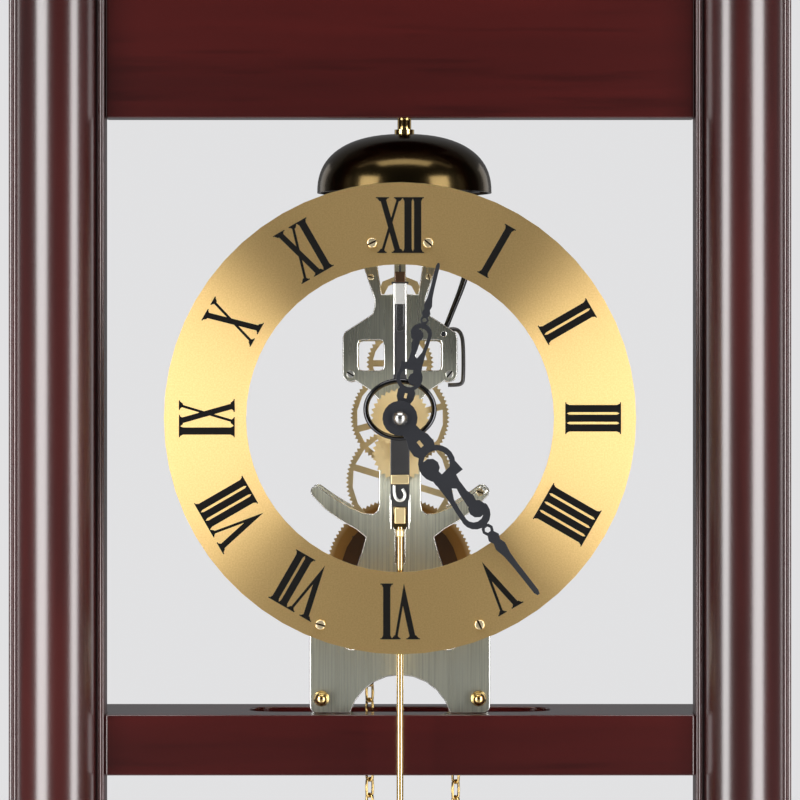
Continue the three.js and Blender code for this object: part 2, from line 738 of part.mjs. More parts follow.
// Suspension cock: a bar across the horns, a tongue for the anchor pivot and an arm that holds the spring
const cockBottom = anchorZ + 10;
const cockTop = anchorZ + 14.8;
const cockThickness = 2;
const cockHalfLength = hornTopWidth + hornWidth - 1;
const cockArmHalf = 5;
const cockTongueHalf = 2.6;
const springSlotHalf = 1.6;
const springHalfWidth = 2.5;
const cockFront = plateFront - glueLine - cockThickness;
const cockOutline = roundedRectangle(-cockHalfLength, cockHalfLength, cockBottom, cockTop, 1.5);
const tongueOutline = roundedRectangle(
  -cockTongueHalf, cockTongueHalf, anchorZ - cockTongueHalf, cockBottom + 1, 1);
const armFront = pendulumY - springHalfWidth - 1.5;
const armOutline = new THREE.Shape();
armOutline.moveTo(-cockArmHalf, cockFront + 1);
armOutline.lineTo(-cockArmHalf, armFront);
armOutline.lineTo(cockArmHalf, armFront);
armOutline.lineTo(cockArmHalf, cockFront + 1);
armOutline.closePath();
const slotMargin = 0.6;
armOutline.holes.push(roundedRectangle(-springSlotHalf, springSlotHalf,
  pendulumY - springHalfWidth - slotMargin, pendulumY + springHalfWidth + slotMargin, 0.5));
addPiece(movement, 'suspension_cock', cutBy(
  joined(
    flatPiece(cockOutline, cockFront, cockThickness, 2),
    flatPiece(tongueOutline, cockFront, cockThickness, 2),
    uprightPiece(armOutline, cockBottom + 2, cockTop - cockBottom - 2, 1)),
  barY(pivotHole, cockFront - 1, plateFront, 0, anchorZ, 10)), brushedNickel);

function block(halfX, front, back, bottom, top) {
  const geometry = new THREE.BoxGeometry(2 * halfX, back - front, top - bottom);
  geometry.translate(0, (front + back) / 2, (bottom + top) / 2);
  return geometry;
}
const springFront = pendulumY - springHalfWidth;
const springBack = pendulumY + springHalfWidth;
const springBlockHalf = 2.1;
const springBlockBottom = anchorZ + 0.8;
const springBlockTop = anchorZ + 5.2;
const springTopHalf = 3.6;
addPiece(movement, 'suspension_spring', joined(
  block(springBlockHalf, springFront, springBack, springBlockBottom, springBlockTop),
  block(0.4, springFront, springBack, springBlockTop - 1, cockTop + 1),
  block(springTopHalf, springFront, springBack, cockTop + runningGap, cockTop + 4)), polishedSteel);

// Pendulum leader: a strip, the loop round the hand shafts, and a fork for the rod
const stripHalf = 3.1;
const slotTop = 51;
const leaderTop = springBlockBottom - glueLine;
const leaderFront = pendulumY - leaderThickness / 2;
const forkTop = leaderBottom + 10;
const prongWidth = 1.3;
const loopInnerHeight = loopHalfHeight - loopBand;
const stripOutline = roundedRectangle(-stripHalf, stripHalf,
  loopCentreZ + loopInnerHeight + 0.5, leaderTop, 0.6);
const crutchPinZ = anchorZ - crutchLength + crutchHalf;
const pinSlotHalf = crutchPinRadius + runningGap;
stripOutline.holes.push(roundedRectangle(
  -pinSlotHalf, pinSlotHalf, crutchPinZ - pinSlotHalf, slotTop, pinSlotHalf - 0.1));
const loopOutline = new THREE.Shape();
loopOutline.absellipse(0, loopCentreZ, loopHalfWidth, loopHalfHeight, 0, 2 * Math.PI);
const loopHole = new THREE.Path();
loopHole.absellipse(0, loopCentreZ, loopHalfWidth - loopBand, loopInnerHeight, 0, 2 * Math.PI, true);
loopOutline.holes.push(loopHole);
const forkOutline = polygon([
  [-leaderHalfWidth, loopCentreZ - loopInnerHeight - 0.5], [-leaderHalfWidth, leaderBottom],
  [prongWidth - leaderHalfWidth, leaderBottom], [prongWidth - leaderHalfWidth, forkTop],
  [leaderHalfWidth - prongWidth, forkTop], [leaderHalfWidth - prongWidth, leaderBottom],
  [leaderHalfWidth, leaderBottom], [leaderHalfWidth, loopCentreZ - loopInnerHeight - 0.5],
]);
addPiece(movement, 'pendulum_leader', joined(
  flatPiece(stripOutline, leaderFront, leaderThickness, 4),
  flatPiece(loopOutline, leaderFront, leaderThickness, 18),
  flatPiece(forkOutline, leaderFront, leaderThickness, 2)), bronzedSteel);

// Pendulum rod with its hook block, the bob and the rating nut
const bobZ = anchorZ - pendulumLength;
const rodBottom = bobZ - bobRadius - rodTail;
const hookBlockHalf = leaderHalfWidth - prongWidth - runningGap;
function barZ(radius, bottom, top, x, y, sideCount = 12) {
  const geometry = new THREE.CylinderGeometry(radius, radius, top - bottom, sideCount);
  geometry.rotateX(Math.PI / 2);
  geometry.translate(x, y, (bottom + top) / 2);
  return closed(geometry);
}
addPiece(movement, 'pendulum_rod', joined(
  block(hookBlockHalf, pendulumY - 1, pendulumY + 1, leaderBottom, forkTop - runningGap),
  barZ(rodRadius, rodBottom, leaderBottom + 1, 0, pendulumY)), polishedBrass);

const bobProfile = [];
const bobSteps = 4;
for (let step = -bobSteps; step <= bobSteps; step += 1) {
  const share = Math.abs(step) / bobSteps;
  const depth = bobEdge / 2 + (bobThickness - bobEdge) / 2 * share;
  const radius = bobRadius * Math.sqrt(1 - share * share);
  if (step === 0) bobProfile.push([radius, pendulumY - bobEdge / 2]);
  bobProfile.push([radius, pendulumY + (step < 0 ? -depth : depth)]);
}
addPiece(movement, 'pendulum_bob', cutBy(
  turnedY(bobProfile, 0, bobZ, 28),
  barZ(rodRadius + runningGap, bobZ - bobRadius - 1, bobZ + bobRadius + 1, 0, pendulumY)), polishedBrass);

// A turned ring about a vertical axis
function ringZ(innerRadius, outerRadius, bottom, top, x, y, sideCount) {
  const ring = turnedZ([
    [innerRadius, bottom], [outerRadius, bottom], [outerRadius, top],
    [innerRadius, top], [innerRadius, bottom],
  ], sideCount);
  ring.translate(x, y, 0);
  return ring;
}
const nutTop = bobZ - bobRadius - runningGap;
addPiece(movement, 'rating_nut',
  ringZ(rodRadius + runningGap, ratingNutRadius, nutTop - ratingNutHeight, nutTop, 0, pendulumY, 20),
  polishedBrass);

// Motion work: cannon pinion, minute wheel on its stud, hour wheel
const cannonMiddle = plateFront - 1 - motionWheelThickness / 2;
const hourMiddle = cannonMiddle - 4.2;
const cannonModule = moduleOf(motionDistance, minuteWheelTeeth, cannonTeeth);
const hourModule = moduleOf(motionDistance, hourWheelTeeth, minutePinionTeeth);
const pipeSides = 20;
const cannonOutline = toothedOutline(cannonTeeth, cannonModule * cannonTeeth / 2, cannonModule, down,
  pinionRoots);
addPiece(movement, 'cannon_pinion', cutBy(
  joined(
    toothedPiece(cannonOutline, cannonMiddle, motionWheelThickness, 0, 0),
    barY(cannonRadius, minuteHandY, cannonMiddle, 0, 0, pipeSides)),
  barY(handShaftRadius + runningGap, minuteHandY - 1, plateFront, 0, 0, pipeSides)), polishedSteel);

const studRadius = 1.2;
const minuteOutline = toothedOutline(
  minuteWheelTeeth, cannonModule * minuteWheelTeeth / 2, cannonModule, up + Math.PI / minuteWheelTeeth);
const minutePinionOutline = toothedOutline(
  minutePinionTeeth, hourModule * minutePinionTeeth / 2, hourModule, up, pinionRoots);
const minutePinionFront = hourMiddle - motionWheelThickness / 2;
const minutePinion = flatPiece(minutePinionOutline, minutePinionFront, cannonMiddle - minutePinionFront, 2);
minutePinion.translate(0, 0, -motionDistance);
addPiece(movement, 'minute_wheel', cutBy(
  joined(toothedPiece(minuteOutline, cannonMiddle, motionWheelThickness, 0, -motionDistance), minutePinion),
  barY(studRadius + runningGap, minutePinionFront - 1, plateFront, 0, -motionDistance)), satinBrass);
addPiece(movement, 'minute_stud',
  barY(studRadius, minutePinionFront - 1, plateFront - glueLine, 0, -motionDistance), polishedSteel);

const hourOutline = toothedOutline(
  hourWheelTeeth, hourModule * hourWheelTeeth / 2, hourModule, down + Math.PI / hourWheelTeeth);
addPiece(movement, 'hour_wheel', cutBy(
  joined(
    toothedPiece(hourOutline, hourMiddle, motionWheelThickness, 0, 0),
    barY(hourPipeRadius, hourHandY, hourMiddle, 0, 0, pipeSides)),
  barY(cannonRadius + runningGap, hourHandY - 1, plateFront, 0, 0, pipeSides)), satinBrass);

// Serpentine hands: boss, pierced neck, two scrolls that each hold a ball, an eye and a blunt blade
// Across and along are millimetres on the minute hand, and the hour hand is a smaller copy
function handPiece(length, boreRadius, front) {
  const scale = length / minuteHandLength;
  const slab = (shape, segments) => flatPiece(shape, front, handThickness, segments);
  const cutter = (shape, segments) => flatPiece(shape, front - 1, handThickness + 2, segments);
  const disc = (across, along, radius) => circleShape(across * scale, along * scale, radius * scale);
  const strip = (points) => polygon(points.map(([across, along]) => [across * scale, along * scale]));
  const bossEdge = handBossRadius / scale - 1;
  const neck = strip([
    [-3.8, bossEdge], [3.8, bossEdge], [4, 10], [5.4, 13], [5.6, 17], [4, 20],
    [-4.2, 20], [-5.6, 17], [-5.4, 13], [-4, 10],
  ]);
  const neckSlot = strip([[-0.8, 12.9], [0.8, 12.9], [0.8, 16], [-0.8, 16]]);
  const ballLink = strip([[1.2, 28], [5.8, 28], [5.9, 33.6], [0.4, 33.6]]);
  const body = strip([
    [-7.6, 30], [-7.9, 35], [-4.2, 35], [-3.6, 38], [-3.5, 43.5], [-4.5, 47], [-4, 49.5], [0.6, 49.5],
    [0.2, 43.5], [-0.4, 40], [1.2, 38.6], [3.4, 43], [4.2, 48], [4.5, 53], [6.7, 53], [6.4, 48], [5.8, 43],
    [5.7, 32], [1, 31],
  ]);
  const upperTrim = strip([[-6.9, 45], [4.4, 45], [4.4, 52.8], [-6.9, 52.8]]);
  const blade = strip([
    [-1.6, 64.6], [1.6, 64.6], [2.8, 67.2], [1.8, 69.4], [2.6, 72], [1.6, 77], [1.3, 83], [1.2, 97.6],
    [0.6, 99.3], [-0.6, 99.3], [-1.2, 97.6], [-1.3, 83], [-1.6, 77], [-2.6, 72], [-1.8, 69.4], [-2.8, 67.2],
  ]);
  const lowerScroll = cutBy(slab(disc(-0.4, 25.8, 8.3), 10), cutter(disc(-0.3, 25.8, 5.9), 8));
  const upperScroll = cutBy(slab(disc(0.1, 54, 6.8), 9), cutter(disc(0.2, 53, 4.4), 7), cutter(upperTrim));
  const outline = joined(
    slab(circleShape(0, 0, handBossRadius), 10),
    slab(neck), lowerScroll, slab(disc(2.9, 25.6, 4.1), 5), slab(ballLink), slab(body),
    upperScroll, slab(disc(-2.1, 52.6, 4), 5), slab(disc(0, 62.8, 2.7), 4), slab(blade));
  const bore = circleShape(0, 0, boreRadius);
  return cutBy(outline, cutter(bore, 6), cutter(neckSlot), cutter(disc(0, 62.8, 1.4), 3));
}
function placedHand(length, boreRadius, front, clockwiseDegrees) {
  const hand = handPiece(length, boreRadius, front);
  hand.rotateY(THREE.MathUtils.degToRad(clockwiseDegrees));
  return hand;
}
addPiece(movement, 'hour_hand',
  placedHand(hourHandLength, hourPipeRadius + runningGap, hourHandY, hourHandAngle), blackSteel);
addPiece(movement, 'minute_hand',
  placedHand(minuteHandLength, cannonRadius + runningGap, minuteHandY, minuteHandAngle), blackSteel);
const nutRadius = 3.6;
const handNutBack = minuteHandY - glueLine;
addPiece(movement, 'hand_nut', turnedY([
  [0, handNutBack - 1.1 * nutRadius], [0.55 * nutRadius, handNutBack - 0.95 * nutRadius],
  [0.9 * nutRadius, handNutBack - 0.5 * nutRadius], [nutRadius, handNutBack], [0, handNutBack],
], 0, 0, 14), polishedSteel);

// Bell on its post, bracket and nut
const strapThickness = 2;
const strapHalf = 6;
const strapBottom = anchorZ + 12;
const strapTop = strapBottom + strapThickness;
const bracketBack = plateBack + glueLine + strapThickness;
const flangeBottom = anchorZ - 4;
addPiece(movement, 'bell_bracket', joined(
  block(strapHalf, -strapHalf, bracketBack, strapBottom, strapTop).translate(bellX, 0, 0),
  block(tongueHalf, bracketBack - strapThickness, bracketBack, flangeBottom, strapTop)), brushedNickel);
const bellTop = bellRimZ + bellHeight;
const bellNeck = 2;
const bellFlange = 4.5;
const bellSeatGap = 0.5;
const seatZ = bellTop - bellWall - bellSeatGap;
const bellPost = turnedZ([
  [0, strapTop + glueLine], [bellPostRadius, strapTop + glueLine], [bellPostRadius, seatZ - 3],
  [bellFlange, seatZ - 3], [bellFlange, seatZ], [bellNeck, seatZ], [bellNeck, bellTop], [0, bellTop],
], 12);
addPiece(movement, 'bell_post', bellPost.translate(bellX, 0, 0), polishedBrass);
const bellHole = bellNeck + pivotGap;
const bellSteps = 5;
const bellProfile = [];
for (let step = 0; step <= bellSteps; step += 1) {
  const angle = Math.acos(bellHole / bellRadius) * step / bellSteps;
  bellProfile.push([bellRadius * Math.cos(angle), bellRimZ + bellHeight * Math.sin(angle)]);
}
for (let step = bellSteps; step >= 0; step -= 1) {
  const inner = bellRadius - bellWall;
  const angle = Math.acos(bellHole / inner) * step / bellSteps;
  bellProfile.push([inner * Math.cos(angle), bellRimZ + (bellHeight - bellWall) * Math.sin(angle)]);
}
bellProfile.push(bellProfile[0]);
addPiece(movement, 'bell', turnedZ(bellProfile, 26).translate(bellX, 0, 0), polishedBrass);
const bellNutBottom = bellTop + glueLine;
const bellNutHeight = 14;
const bellNut = turnedZ([
  [0, bellNutBottom], [bellFlange, bellNutBottom], [bellFlange, bellNutBottom + 2],
  [bellPostRadius, bellNutBottom + 2], [bellPostRadius, bellNutBottom + bellNutHeight - 2],
  [0.6 * bellPostRadius, bellNutBottom + bellNutHeight], [0, bellNutBottom + bellNutHeight],
], 12);
addPiece(movement, 'bell_nut', bellNut.translate(bellX, 0, 0), polishedBrass);

// Wire bent along a curve
function wire(points, radius, steps, sideCount = 6) {
  const section = new THREE.Shape();
  for (let side = 0; side < sideCount; side += 1) {
    const angle = 2 * Math.PI * side / sideCount;
    if (side === 0) section.moveTo(radius, 0);
    else section.lineTo(radius * Math.cos(angle), radius * Math.sin(angle));
  }
  const path = new THREE.CatmullRomCurve3(points.map(([x, z]) => new THREE.Vector3(x, 0, z)));
  return closed(new THREE.ExtrudeGeometry(section, { steps, bevelEnabled: false, extrudePath: path }));
}

// Hammer: arbor, bent wire and a head that stands just inside the bell's rim
const headX = bellX + bellRadius - bellWall - hammerHeadLength / 2 - 3.9;
const headZ = bellRimZ + hammerHeadRadius;
const hammerHead = new THREE.CylinderGeometry(hammerHeadRadius, hammerHeadRadius, hammerHeadLength, 12);
hammerHead.rotateZ(Math.PI / 2);
hammerHead.translate(headX, 0, headZ);
addPiece(movement, 'hammer', joined(
  arbor(hammerArborX, hammerArborZ, fineArborRadius),
  wire([
    [hammerArborX, hammerArborZ], [hammerArborX + 3, hammerArborZ + 8],
    [30.4, 66], [33, 84], [headX, headZ]],
    hammerWireRadius, 10),
  hammerHead), polishedSteel);

// Chain sprocket with its ratchet, running loose on the great wheel's arbor
const sprocketBore = arborRadius + runningGap;
const grooveHalf = chainHalfWidth + 0.85;
const flangeThickness = 1.5;
const chainInner = sprocketRadius - chainHalfWidth;
const sprocketHub = chainInner - runningGap;
const ratchetTeeth = 16;
const ratchetRadius = 16.5;
const ratchetPoints = [];
for (let tooth = 0; tooth < ratchetTeeth; tooth += 1) {
  for (const [radius, share] of [[ratchetRadius - 1.6, 0], [ratchetRadius, 0.85]]) {
    const angle = 2 * Math.PI * (tooth + share) / ratchetTeeth;
    ratchetPoints.push([radius * Math.cos(angle), radius * Math.sin(angle)]);
  }
}
const ratchet = flatPiece(polygon(ratchetPoints), grooveHalf, flangeThickness);
ratchet.translate(0, 0, greatZ);
const flangeFront = -grooveHalf - flangeThickness;
addPiece(movement, 'chain_sprocket', cutBy(
  joined(
    turnedY([
      [0, flangeFront], [sprocketFlangeRadius, flangeFront], [sprocketFlangeRadius, -grooveHalf],
      [sprocketHub, -grooveHalf], [sprocketHub, grooveHalf + 0.5], [0, grooveHalf + 0.5],
    ], 0, greatZ, 28),
    ratchet),
  barY(sprocketBore, flangeFront - 1, grooveHalf + flangeThickness + 1, 0, greatZ)), bronzedSteel);

// Click that drives the great wheel from the ratchet
const clickPivot = { x: -20, z: greatZ + 15 };
const clickNose = { x: -ratchetRadius - 0.5, z: greatZ + 4.5 };
const click = flatPiece(polygon([
  [clickPivot.x - 2, clickPivot.z + 1.5], [clickNose.x - 2.5, clickNose.z], [clickNose.x, clickNose.z],
  [clickPivot.x + 2, clickPivot.z + 1.5],
]), grooveHalf, flangeThickness);
addPiece(movement, 'click', joined(click,
  barY(1.2, grooveHalf + 0.5, greatWheelY - wheelThickness / 2 - glueLine, clickPivot.x, clickPivot.z, 8),
), polishedSteel);

// Chain: over the sprocket and past the guide pin, then the weight's strand and the pull ring's strand
const chainPoints = [];
const bend = { x: weightStrandX, z: guidePinZ - greatZ };
const tangentAngle = Math.atan2(bend.z, bend.x) + Math.acos(sprocketRadius / Math.hypot(bend.x, bend.z));
const wrapSteps = 12;
for (let step = 0; step <= wrapSteps; step += 1) {
  const angle = Math.PI + (tangentAngle - Math.PI) * step / wrapSteps;
  chainPoints.push([sprocketRadius * Math.cos(angle), greatZ + sprocketRadius * Math.sin(angle)]);
}
const guideRun = 12;
const [leaveX, leaveZ] = chainPoints[wrapSteps];
chainPoints.push([(leaveX + weightStrandX) / 2, (leaveZ + guidePinZ) / 2]);
chainPoints.push([weightStrandX, guidePinZ]);
chainPoints.push([weightStrandX, guidePinZ - guideRun]);
addPiece(movement, 'chain_over_sprocket', wire(chainPoints, chainHalfWidth, 24), polishedBrass);
addPiece(movement, 'chain_guide_pin', barY(guidePinRadius, pillarFront, -pillarFront,
  weightStrandX - chainHalfWidth - guidePinRadius - runningGap, guidePinZ), polishedSteel);
addPiece(movement, 'weight_chain',
  barZ(chainHalfWidth, -weightStrandDrop, guidePinZ - guideRun - runningGap, weightStrandX, 0, 8),
  polishedBrass);
addPiece(movement, 'ring_chain',
  barZ(chainHalfWidth, -ringStrandDrop, greatZ - runningGap, -sprocketRadius, 0, 8), polishedBrass);

// Weight: hook, brass tube and two caps
const hookLength = 28;
const hookTop = -weightStrandDrop - runningGap - weightHookRadius;
const weightTop = -weightStrandDrop - hookLength;
const hook = wire([
  [0, weightTop + glueLine], [0, weightTop + 10], [4.2, hookTop - 9], [4.4, hookTop - 4], [0, hookTop],
  [-4.4, hookTop - 4], [-4, hookTop - 9],
], weightHookRadius, 16);
addPiece(movement, 'weight_hook', hook.translate(weightStrandX, 0, 0), polishedBrass);
const capRadius = weightRadius + 1;
const tubeTop = weightTop - weightCapHeight - glueLine;
const tubeBottom = tubeTop - weightLength;
const topCap = turnedZ([
  [0, weightTop - weightCapHeight], [capRadius, weightTop - weightCapHeight], [capRadius, weightTop - 4],
  [capRadius - 3, weightTop], [0, weightTop],
], 24);
addPiece(movement, 'weight_top_cap', topCap.translate(weightStrandX, 0, 0), polishedBrass);
const tube = turnedZ([
  [0, tubeBottom], [weightRadius, tubeBottom], [weightRadius, tubeTop], [0, tubeTop],
], 24);
addPiece(movement, 'weight_tube', tube.translate(weightStrandX, 0, 0), polishedBrass);
const bottomCapTop = tubeBottom - glueLine;
const bottomCap = turnedZ([
  [0, bottomCapTop - weightCapHeight], [capRadius - 3, bottomCapTop - weightCapHeight],
  [capRadius, bottomCapTop - weightCapHeight + 4], [capRadius, bottomCapTop], [0, bottomCapTop],
], 24);
addPiece(movement, 'weight_bottom_cap', bottomCap.translate(weightStrandX, 0, 0), polishedBrass);

// Pull ring at the end of the other strand
const ringSection = [];
const ringSides = 6;
const pullRingZ = -ringStrandDrop - runningGap - pullRingRadius - pullRingWire;
for (let side = 0; side <= ringSides; side += 1) {
  const angle = 2 * Math.PI * (side % ringSides) / ringSides;
  ringSection.push([pullRingRadius + pullRingWire * Math.cos(angle), pullRingWire * Math.sin(angle)]);
}
addPiece(movement, 'pull_ring', turnedY(ringSection, -sprocketRadius, pullRingZ, 16), polishedBrass);

export default clock;
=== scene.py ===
import bpy
import json
import math
from mathutils import Matrix, Vector

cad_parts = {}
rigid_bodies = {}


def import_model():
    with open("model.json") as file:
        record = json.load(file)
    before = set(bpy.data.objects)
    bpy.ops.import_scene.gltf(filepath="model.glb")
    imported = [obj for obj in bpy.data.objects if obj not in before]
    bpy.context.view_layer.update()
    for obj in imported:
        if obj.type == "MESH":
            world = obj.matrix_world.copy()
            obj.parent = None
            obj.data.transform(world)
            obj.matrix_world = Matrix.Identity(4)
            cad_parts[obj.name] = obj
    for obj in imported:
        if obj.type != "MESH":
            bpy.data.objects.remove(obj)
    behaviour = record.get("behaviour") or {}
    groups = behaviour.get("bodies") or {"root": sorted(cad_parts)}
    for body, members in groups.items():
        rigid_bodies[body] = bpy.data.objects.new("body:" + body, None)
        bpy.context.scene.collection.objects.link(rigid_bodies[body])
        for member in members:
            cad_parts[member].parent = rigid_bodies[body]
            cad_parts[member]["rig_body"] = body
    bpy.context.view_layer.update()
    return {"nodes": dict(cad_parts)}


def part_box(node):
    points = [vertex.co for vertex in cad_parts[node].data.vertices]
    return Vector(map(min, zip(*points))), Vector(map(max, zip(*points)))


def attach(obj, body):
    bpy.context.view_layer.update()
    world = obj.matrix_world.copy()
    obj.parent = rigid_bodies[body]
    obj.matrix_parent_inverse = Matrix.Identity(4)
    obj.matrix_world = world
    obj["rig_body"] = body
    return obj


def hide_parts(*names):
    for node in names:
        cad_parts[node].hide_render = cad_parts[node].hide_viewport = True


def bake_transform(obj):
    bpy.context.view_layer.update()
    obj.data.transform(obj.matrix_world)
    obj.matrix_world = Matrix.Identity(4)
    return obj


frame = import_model()
print("frame loaded", len(frame["nodes"]), "nodes")

mm = 0.001
handArborZ = 1.56  # the hands' arbor, which the dial is centred on
scene = bpy.context.scene


# camera

cameraSet = {"place": (0.0, -2.070, 1.5681), "lens": 203.0, "sensor": 36.0, "near": 0.05, "far": 60}


def makeCamera():
    bpy.ops.object.camera_add(location=cameraSet["place"], rotation=(math.radians(90), 0, 0))
    camera = bpy.context.object
    camera.name = "photo_camera"
    camera.data.lens = cameraSet["lens"]
    camera.data.sensor_width = cameraSet["sensor"]
    camera.data.clip_start = cameraSet["near"]
    camera.data.clip_end = cameraSet["far"]
    scene.camera = camera


makeCamera()
print("camera set")


# small helpers for modelling by hand

def clearSelection():
    if bpy.context.object and bpy.context.object.mode != "OBJECT":
        bpy.ops.object.mode_set(mode="OBJECT")
    bpy.ops.object.select_all(action="DESELECT")


def makeActive(piece):
    clearSelection()
    piece.select_set(True)
    bpy.context.view_layer.objects.active = piece


def settle(piece):  # place, turn and scale go into the mesh
    makeActive(piece)
    bpy.ops.object.transform_apply(location=True, rotation=True, scale=True)


def smoothEdges(piece, angle):
    makeActive(piece)
    bpy.ops.object.shade_smooth_by_angle(angle=math.radians(angle))


def softenEdges(piece, width, segments, angle, clamp=True):
    makeActive(piece)
    bevel = piece.modifiers.new("soft_edges", "BEVEL")
    bevel.width = width
    bevel.segments = segments
    bevel.limit_method = "ANGLE"
    bevel.angle_limit = math.radians(angle)
    bevel.use_clamp_overlap = clamp
    bpy.ops.object.modifier_apply(modifier=bevel.name)


def evenNormals(piece):  # broad faces keep their own direction beside a soft edge
    makeActive(piece)
    weighted = piece.modifiers.new("even_normals", "WEIGHTED_NORMAL")
    weighted.weight = 100
    weighted.keep_sharp = False
    bpy.ops.object.modifier_apply(modifier=weighted.name)


faceMark = "paintedLightFace"


def markFaces(piece, isMarked):  # some metals paint marked faces: a painted highlight on plate chamfers, painted shade in screw slots
    mark = piece.data.attributes.new(faceMark, "FLOAT", "FACE")
    for face in piece.data.polygons:
        mark.data[face.index].value = 1.0 if isMarked(face) else 0.0


def joinPieces(pieces, name):
    clearSelection()
    for piece in pieces:
        piece.select_set(True)
    bpy.context.view_layer.objects.active = pieces[0]
    bpy.ops.object.join()
    joined = bpy.context.object
    joined.name = name
    joined.data.name = name
    return joined


def copyPiece(piece, matrix):  # a copy with its own mesh, already in place
    copied = piece.copy()
    copied.data = piece.data.copy()
    copied.data.transform(matrix)
    scene.collection.objects.link(copied)
    return copied


def removePiece(piece):
    bpy.data.objects.remove(piece)


def setMaterial(piece, material):
    piece.data.materials.clear()
    piece.data.materials.append(material)


def addBox(size, centre):
    clearSelection()
    bpy.ops.mesh.primitive_cube_add(size=1, location=centre)
    box = bpy.context.object
    box.scale = size
    settle(box)
    return box


def addRod(radius, length, centre, axis, sides):
    clearSelection()
    turn = {"y": (math.radians(90), 0, 0), "z": (0, 0, 0)}[axis]
    bpy.ops.mesh.primitive_cylinder_add(vertices=sides, radius=radius, depth=length, location=centre, rotation=turn)
    rod = bpy.context.object
    settle(rod)
    return rod


def combine(piece, other, operation):  # a boolean that uses up its second piece
    makeActive(piece)
    change = piece.modifiers.new("combine", "BOOLEAN")
    change.operation = operation
    change.solver = "EXACT"
    change.object = other
    bpy.ops.object.modifier_apply(modifier=change.name)
    removePiece(other)


def nodeEnds(node):  # top and bottom of a solid, in mm from the floor
    low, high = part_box(node)
    return high.z / mm, low.z / mm


# node helpers

def addNode(nodes, kind, inputs=None, **settings):
    node = nodes.new("ShaderNode" + kind)
    for name, value in settings.items():
        setattr(node, name, value)
    for socket, value in (inputs or {}).items():
        node.inputs[socket].default_value = value
    return node


def mixColour(nodes, inputs=None, blend="MIX"):
    return addNode(nodes, "Mix", inputs, data_type="RGBA", blend_type=blend)


def objectPlace(nodes):
    return nodes.new("ShaderNodeTexCoord").outputs["Object"]


def addNoise(nodes, links, place, values, socket="Vector", **settings):
    noise = addNode(nodes, "TexNoise", values, **settings)
    links.new(place, noise.inputs[socket])
    return noise.outputs["Fac"]


def remap(nodes, links, value, reach, result=(0.0, 1.0)):
    span = addNode(nodes, "MapRange", {"From Min": reach[0], "From Max": reach[1],
                                       "To Min": result[0], "To Max": result[1]})
    links.new(value, span.inputs["Value"])
    return span.outputs["Result"]


def combineValues(nodes, links, operation, first, second):
    answer = addNode(nodes, "Math", operation=operation)
    links.new(first, answer.inputs[0])
    links.new(second, answer.inputs[1])
    return answer.outputs["Value"]


def distanceFrom(nodes, links, centre):  # seen along Y, in object coordinates
    offset = addNode(nodes, "VectorMath", {1: centre}, operation="SUBTRACT")
    links.new(objectPlace(nodes), offset.inputs[0])
    flat = addNode(nodes, "VectorMath", {1: (1, 0, 1)}, operation="MULTIPLY")
    links.new(offset.outputs["Vector"], flat.inputs[0])
    length = addNode(nodes, "VectorMath", operation="LENGTH")
    links.new(flat.outputs["Vector"], length.inputs[0])
    return length.outputs["Value"]


# shared surface effects

def newGroup(name, inputs, outputs):
    group = bpy.data.node_groups.new(name, "ShaderNodeTree")
    for title, kind, value in inputs:
        socket = group.interface.new_socket(title, in_out="INPUT", socket_type=kind)
        socket.default_value = value
    for title, kind in outputs:
        group.interface.new_socket(title, in_out="OUTPUT", socket_type=kind)
    enter = group.nodes.new("NodeGroupInput")
    leave = group.nodes.new("NodeGroupOutput")
    return group, enter, leave


def stretchedPlace(nodes, links, scale):
    stretch = nodes.new("ShaderNodeMapping")
    links.new(objectPlace(nodes), stretch.inputs["Vector"])
    links.new(scale, stretch.inputs["Scale"])
    return stretch.outputs["Vector"]


grainSet = {"streaks": {"Scale": 15, "Detail": 6, "Roughness": 0.6, "Distortion": 0.4}, "streakReach": (0.32, 0.68),
            "pores": {"Scale": 190, "Detail": 3}, "poreReach": (0.56, 0.7), "poreTone": (0.75, 0.7, 0.7, 1)}


def makeGrainGroup():  # long wood streaks with short dark pores
    group, enter, leave = newGroup(
        "mahoganyGrain",
        [("Along", "NodeSocketVector", (1, 1, 1)), ("Dark", "NodeSocketColor", (0.02, 0.005, 0.005, 1)),
         ("Red", "NodeSocketColor", (0.1, 0.02, 0.015, 1))],
        [("Color", "NodeSocketColor"), ("Pores", "NodeSocketFloat"), ("Sheen", "NodeSocketFloat")])
    nodes, links = group.nodes, group.links
    along = stretchedPlace(nodes, links, enter.outputs["Along"])
    streaks = remap(nodes, links, addNoise(nodes, links, along, grainSet["streaks"]), grainSet["streakReach"])
    pores = remap(nodes, links, addNoise(nodes, links, along, grainSet["pores"]), grainSet["poreReach"])
    tone = mixColour(nodes)
    links.new(streaks, tone.inputs["Factor"])
    links.new(enter.outputs["Dark"], tone.inputs["A"])
    links.new(enter.outputs["Red"], tone.inputs["B"])
    deepen = mixColour(nodes, {"B": grainSet["poreTone"]}, "MULTIPLY")
    links.new(pores, deepen.inputs["Factor"])
    links.new(tone.outputs["Result"], deepen.inputs["A"])
    links.new(deepen.outputs["Result"], leave.inputs["Color"])
    links.new(pores, leave.inputs["Pores"])
    links.new(streaks, leave.inputs["Sheen"])
    return group


brushSet = {"lines": {"Scale": 900, "Detail": 2}, "lineReach": (0.4, 0.62), "cloud": {"Scale": 14, "Detail": 3},
            "cloudReach": (0.42, 0.8), "lineTone": (0, 0, 0, 1)}


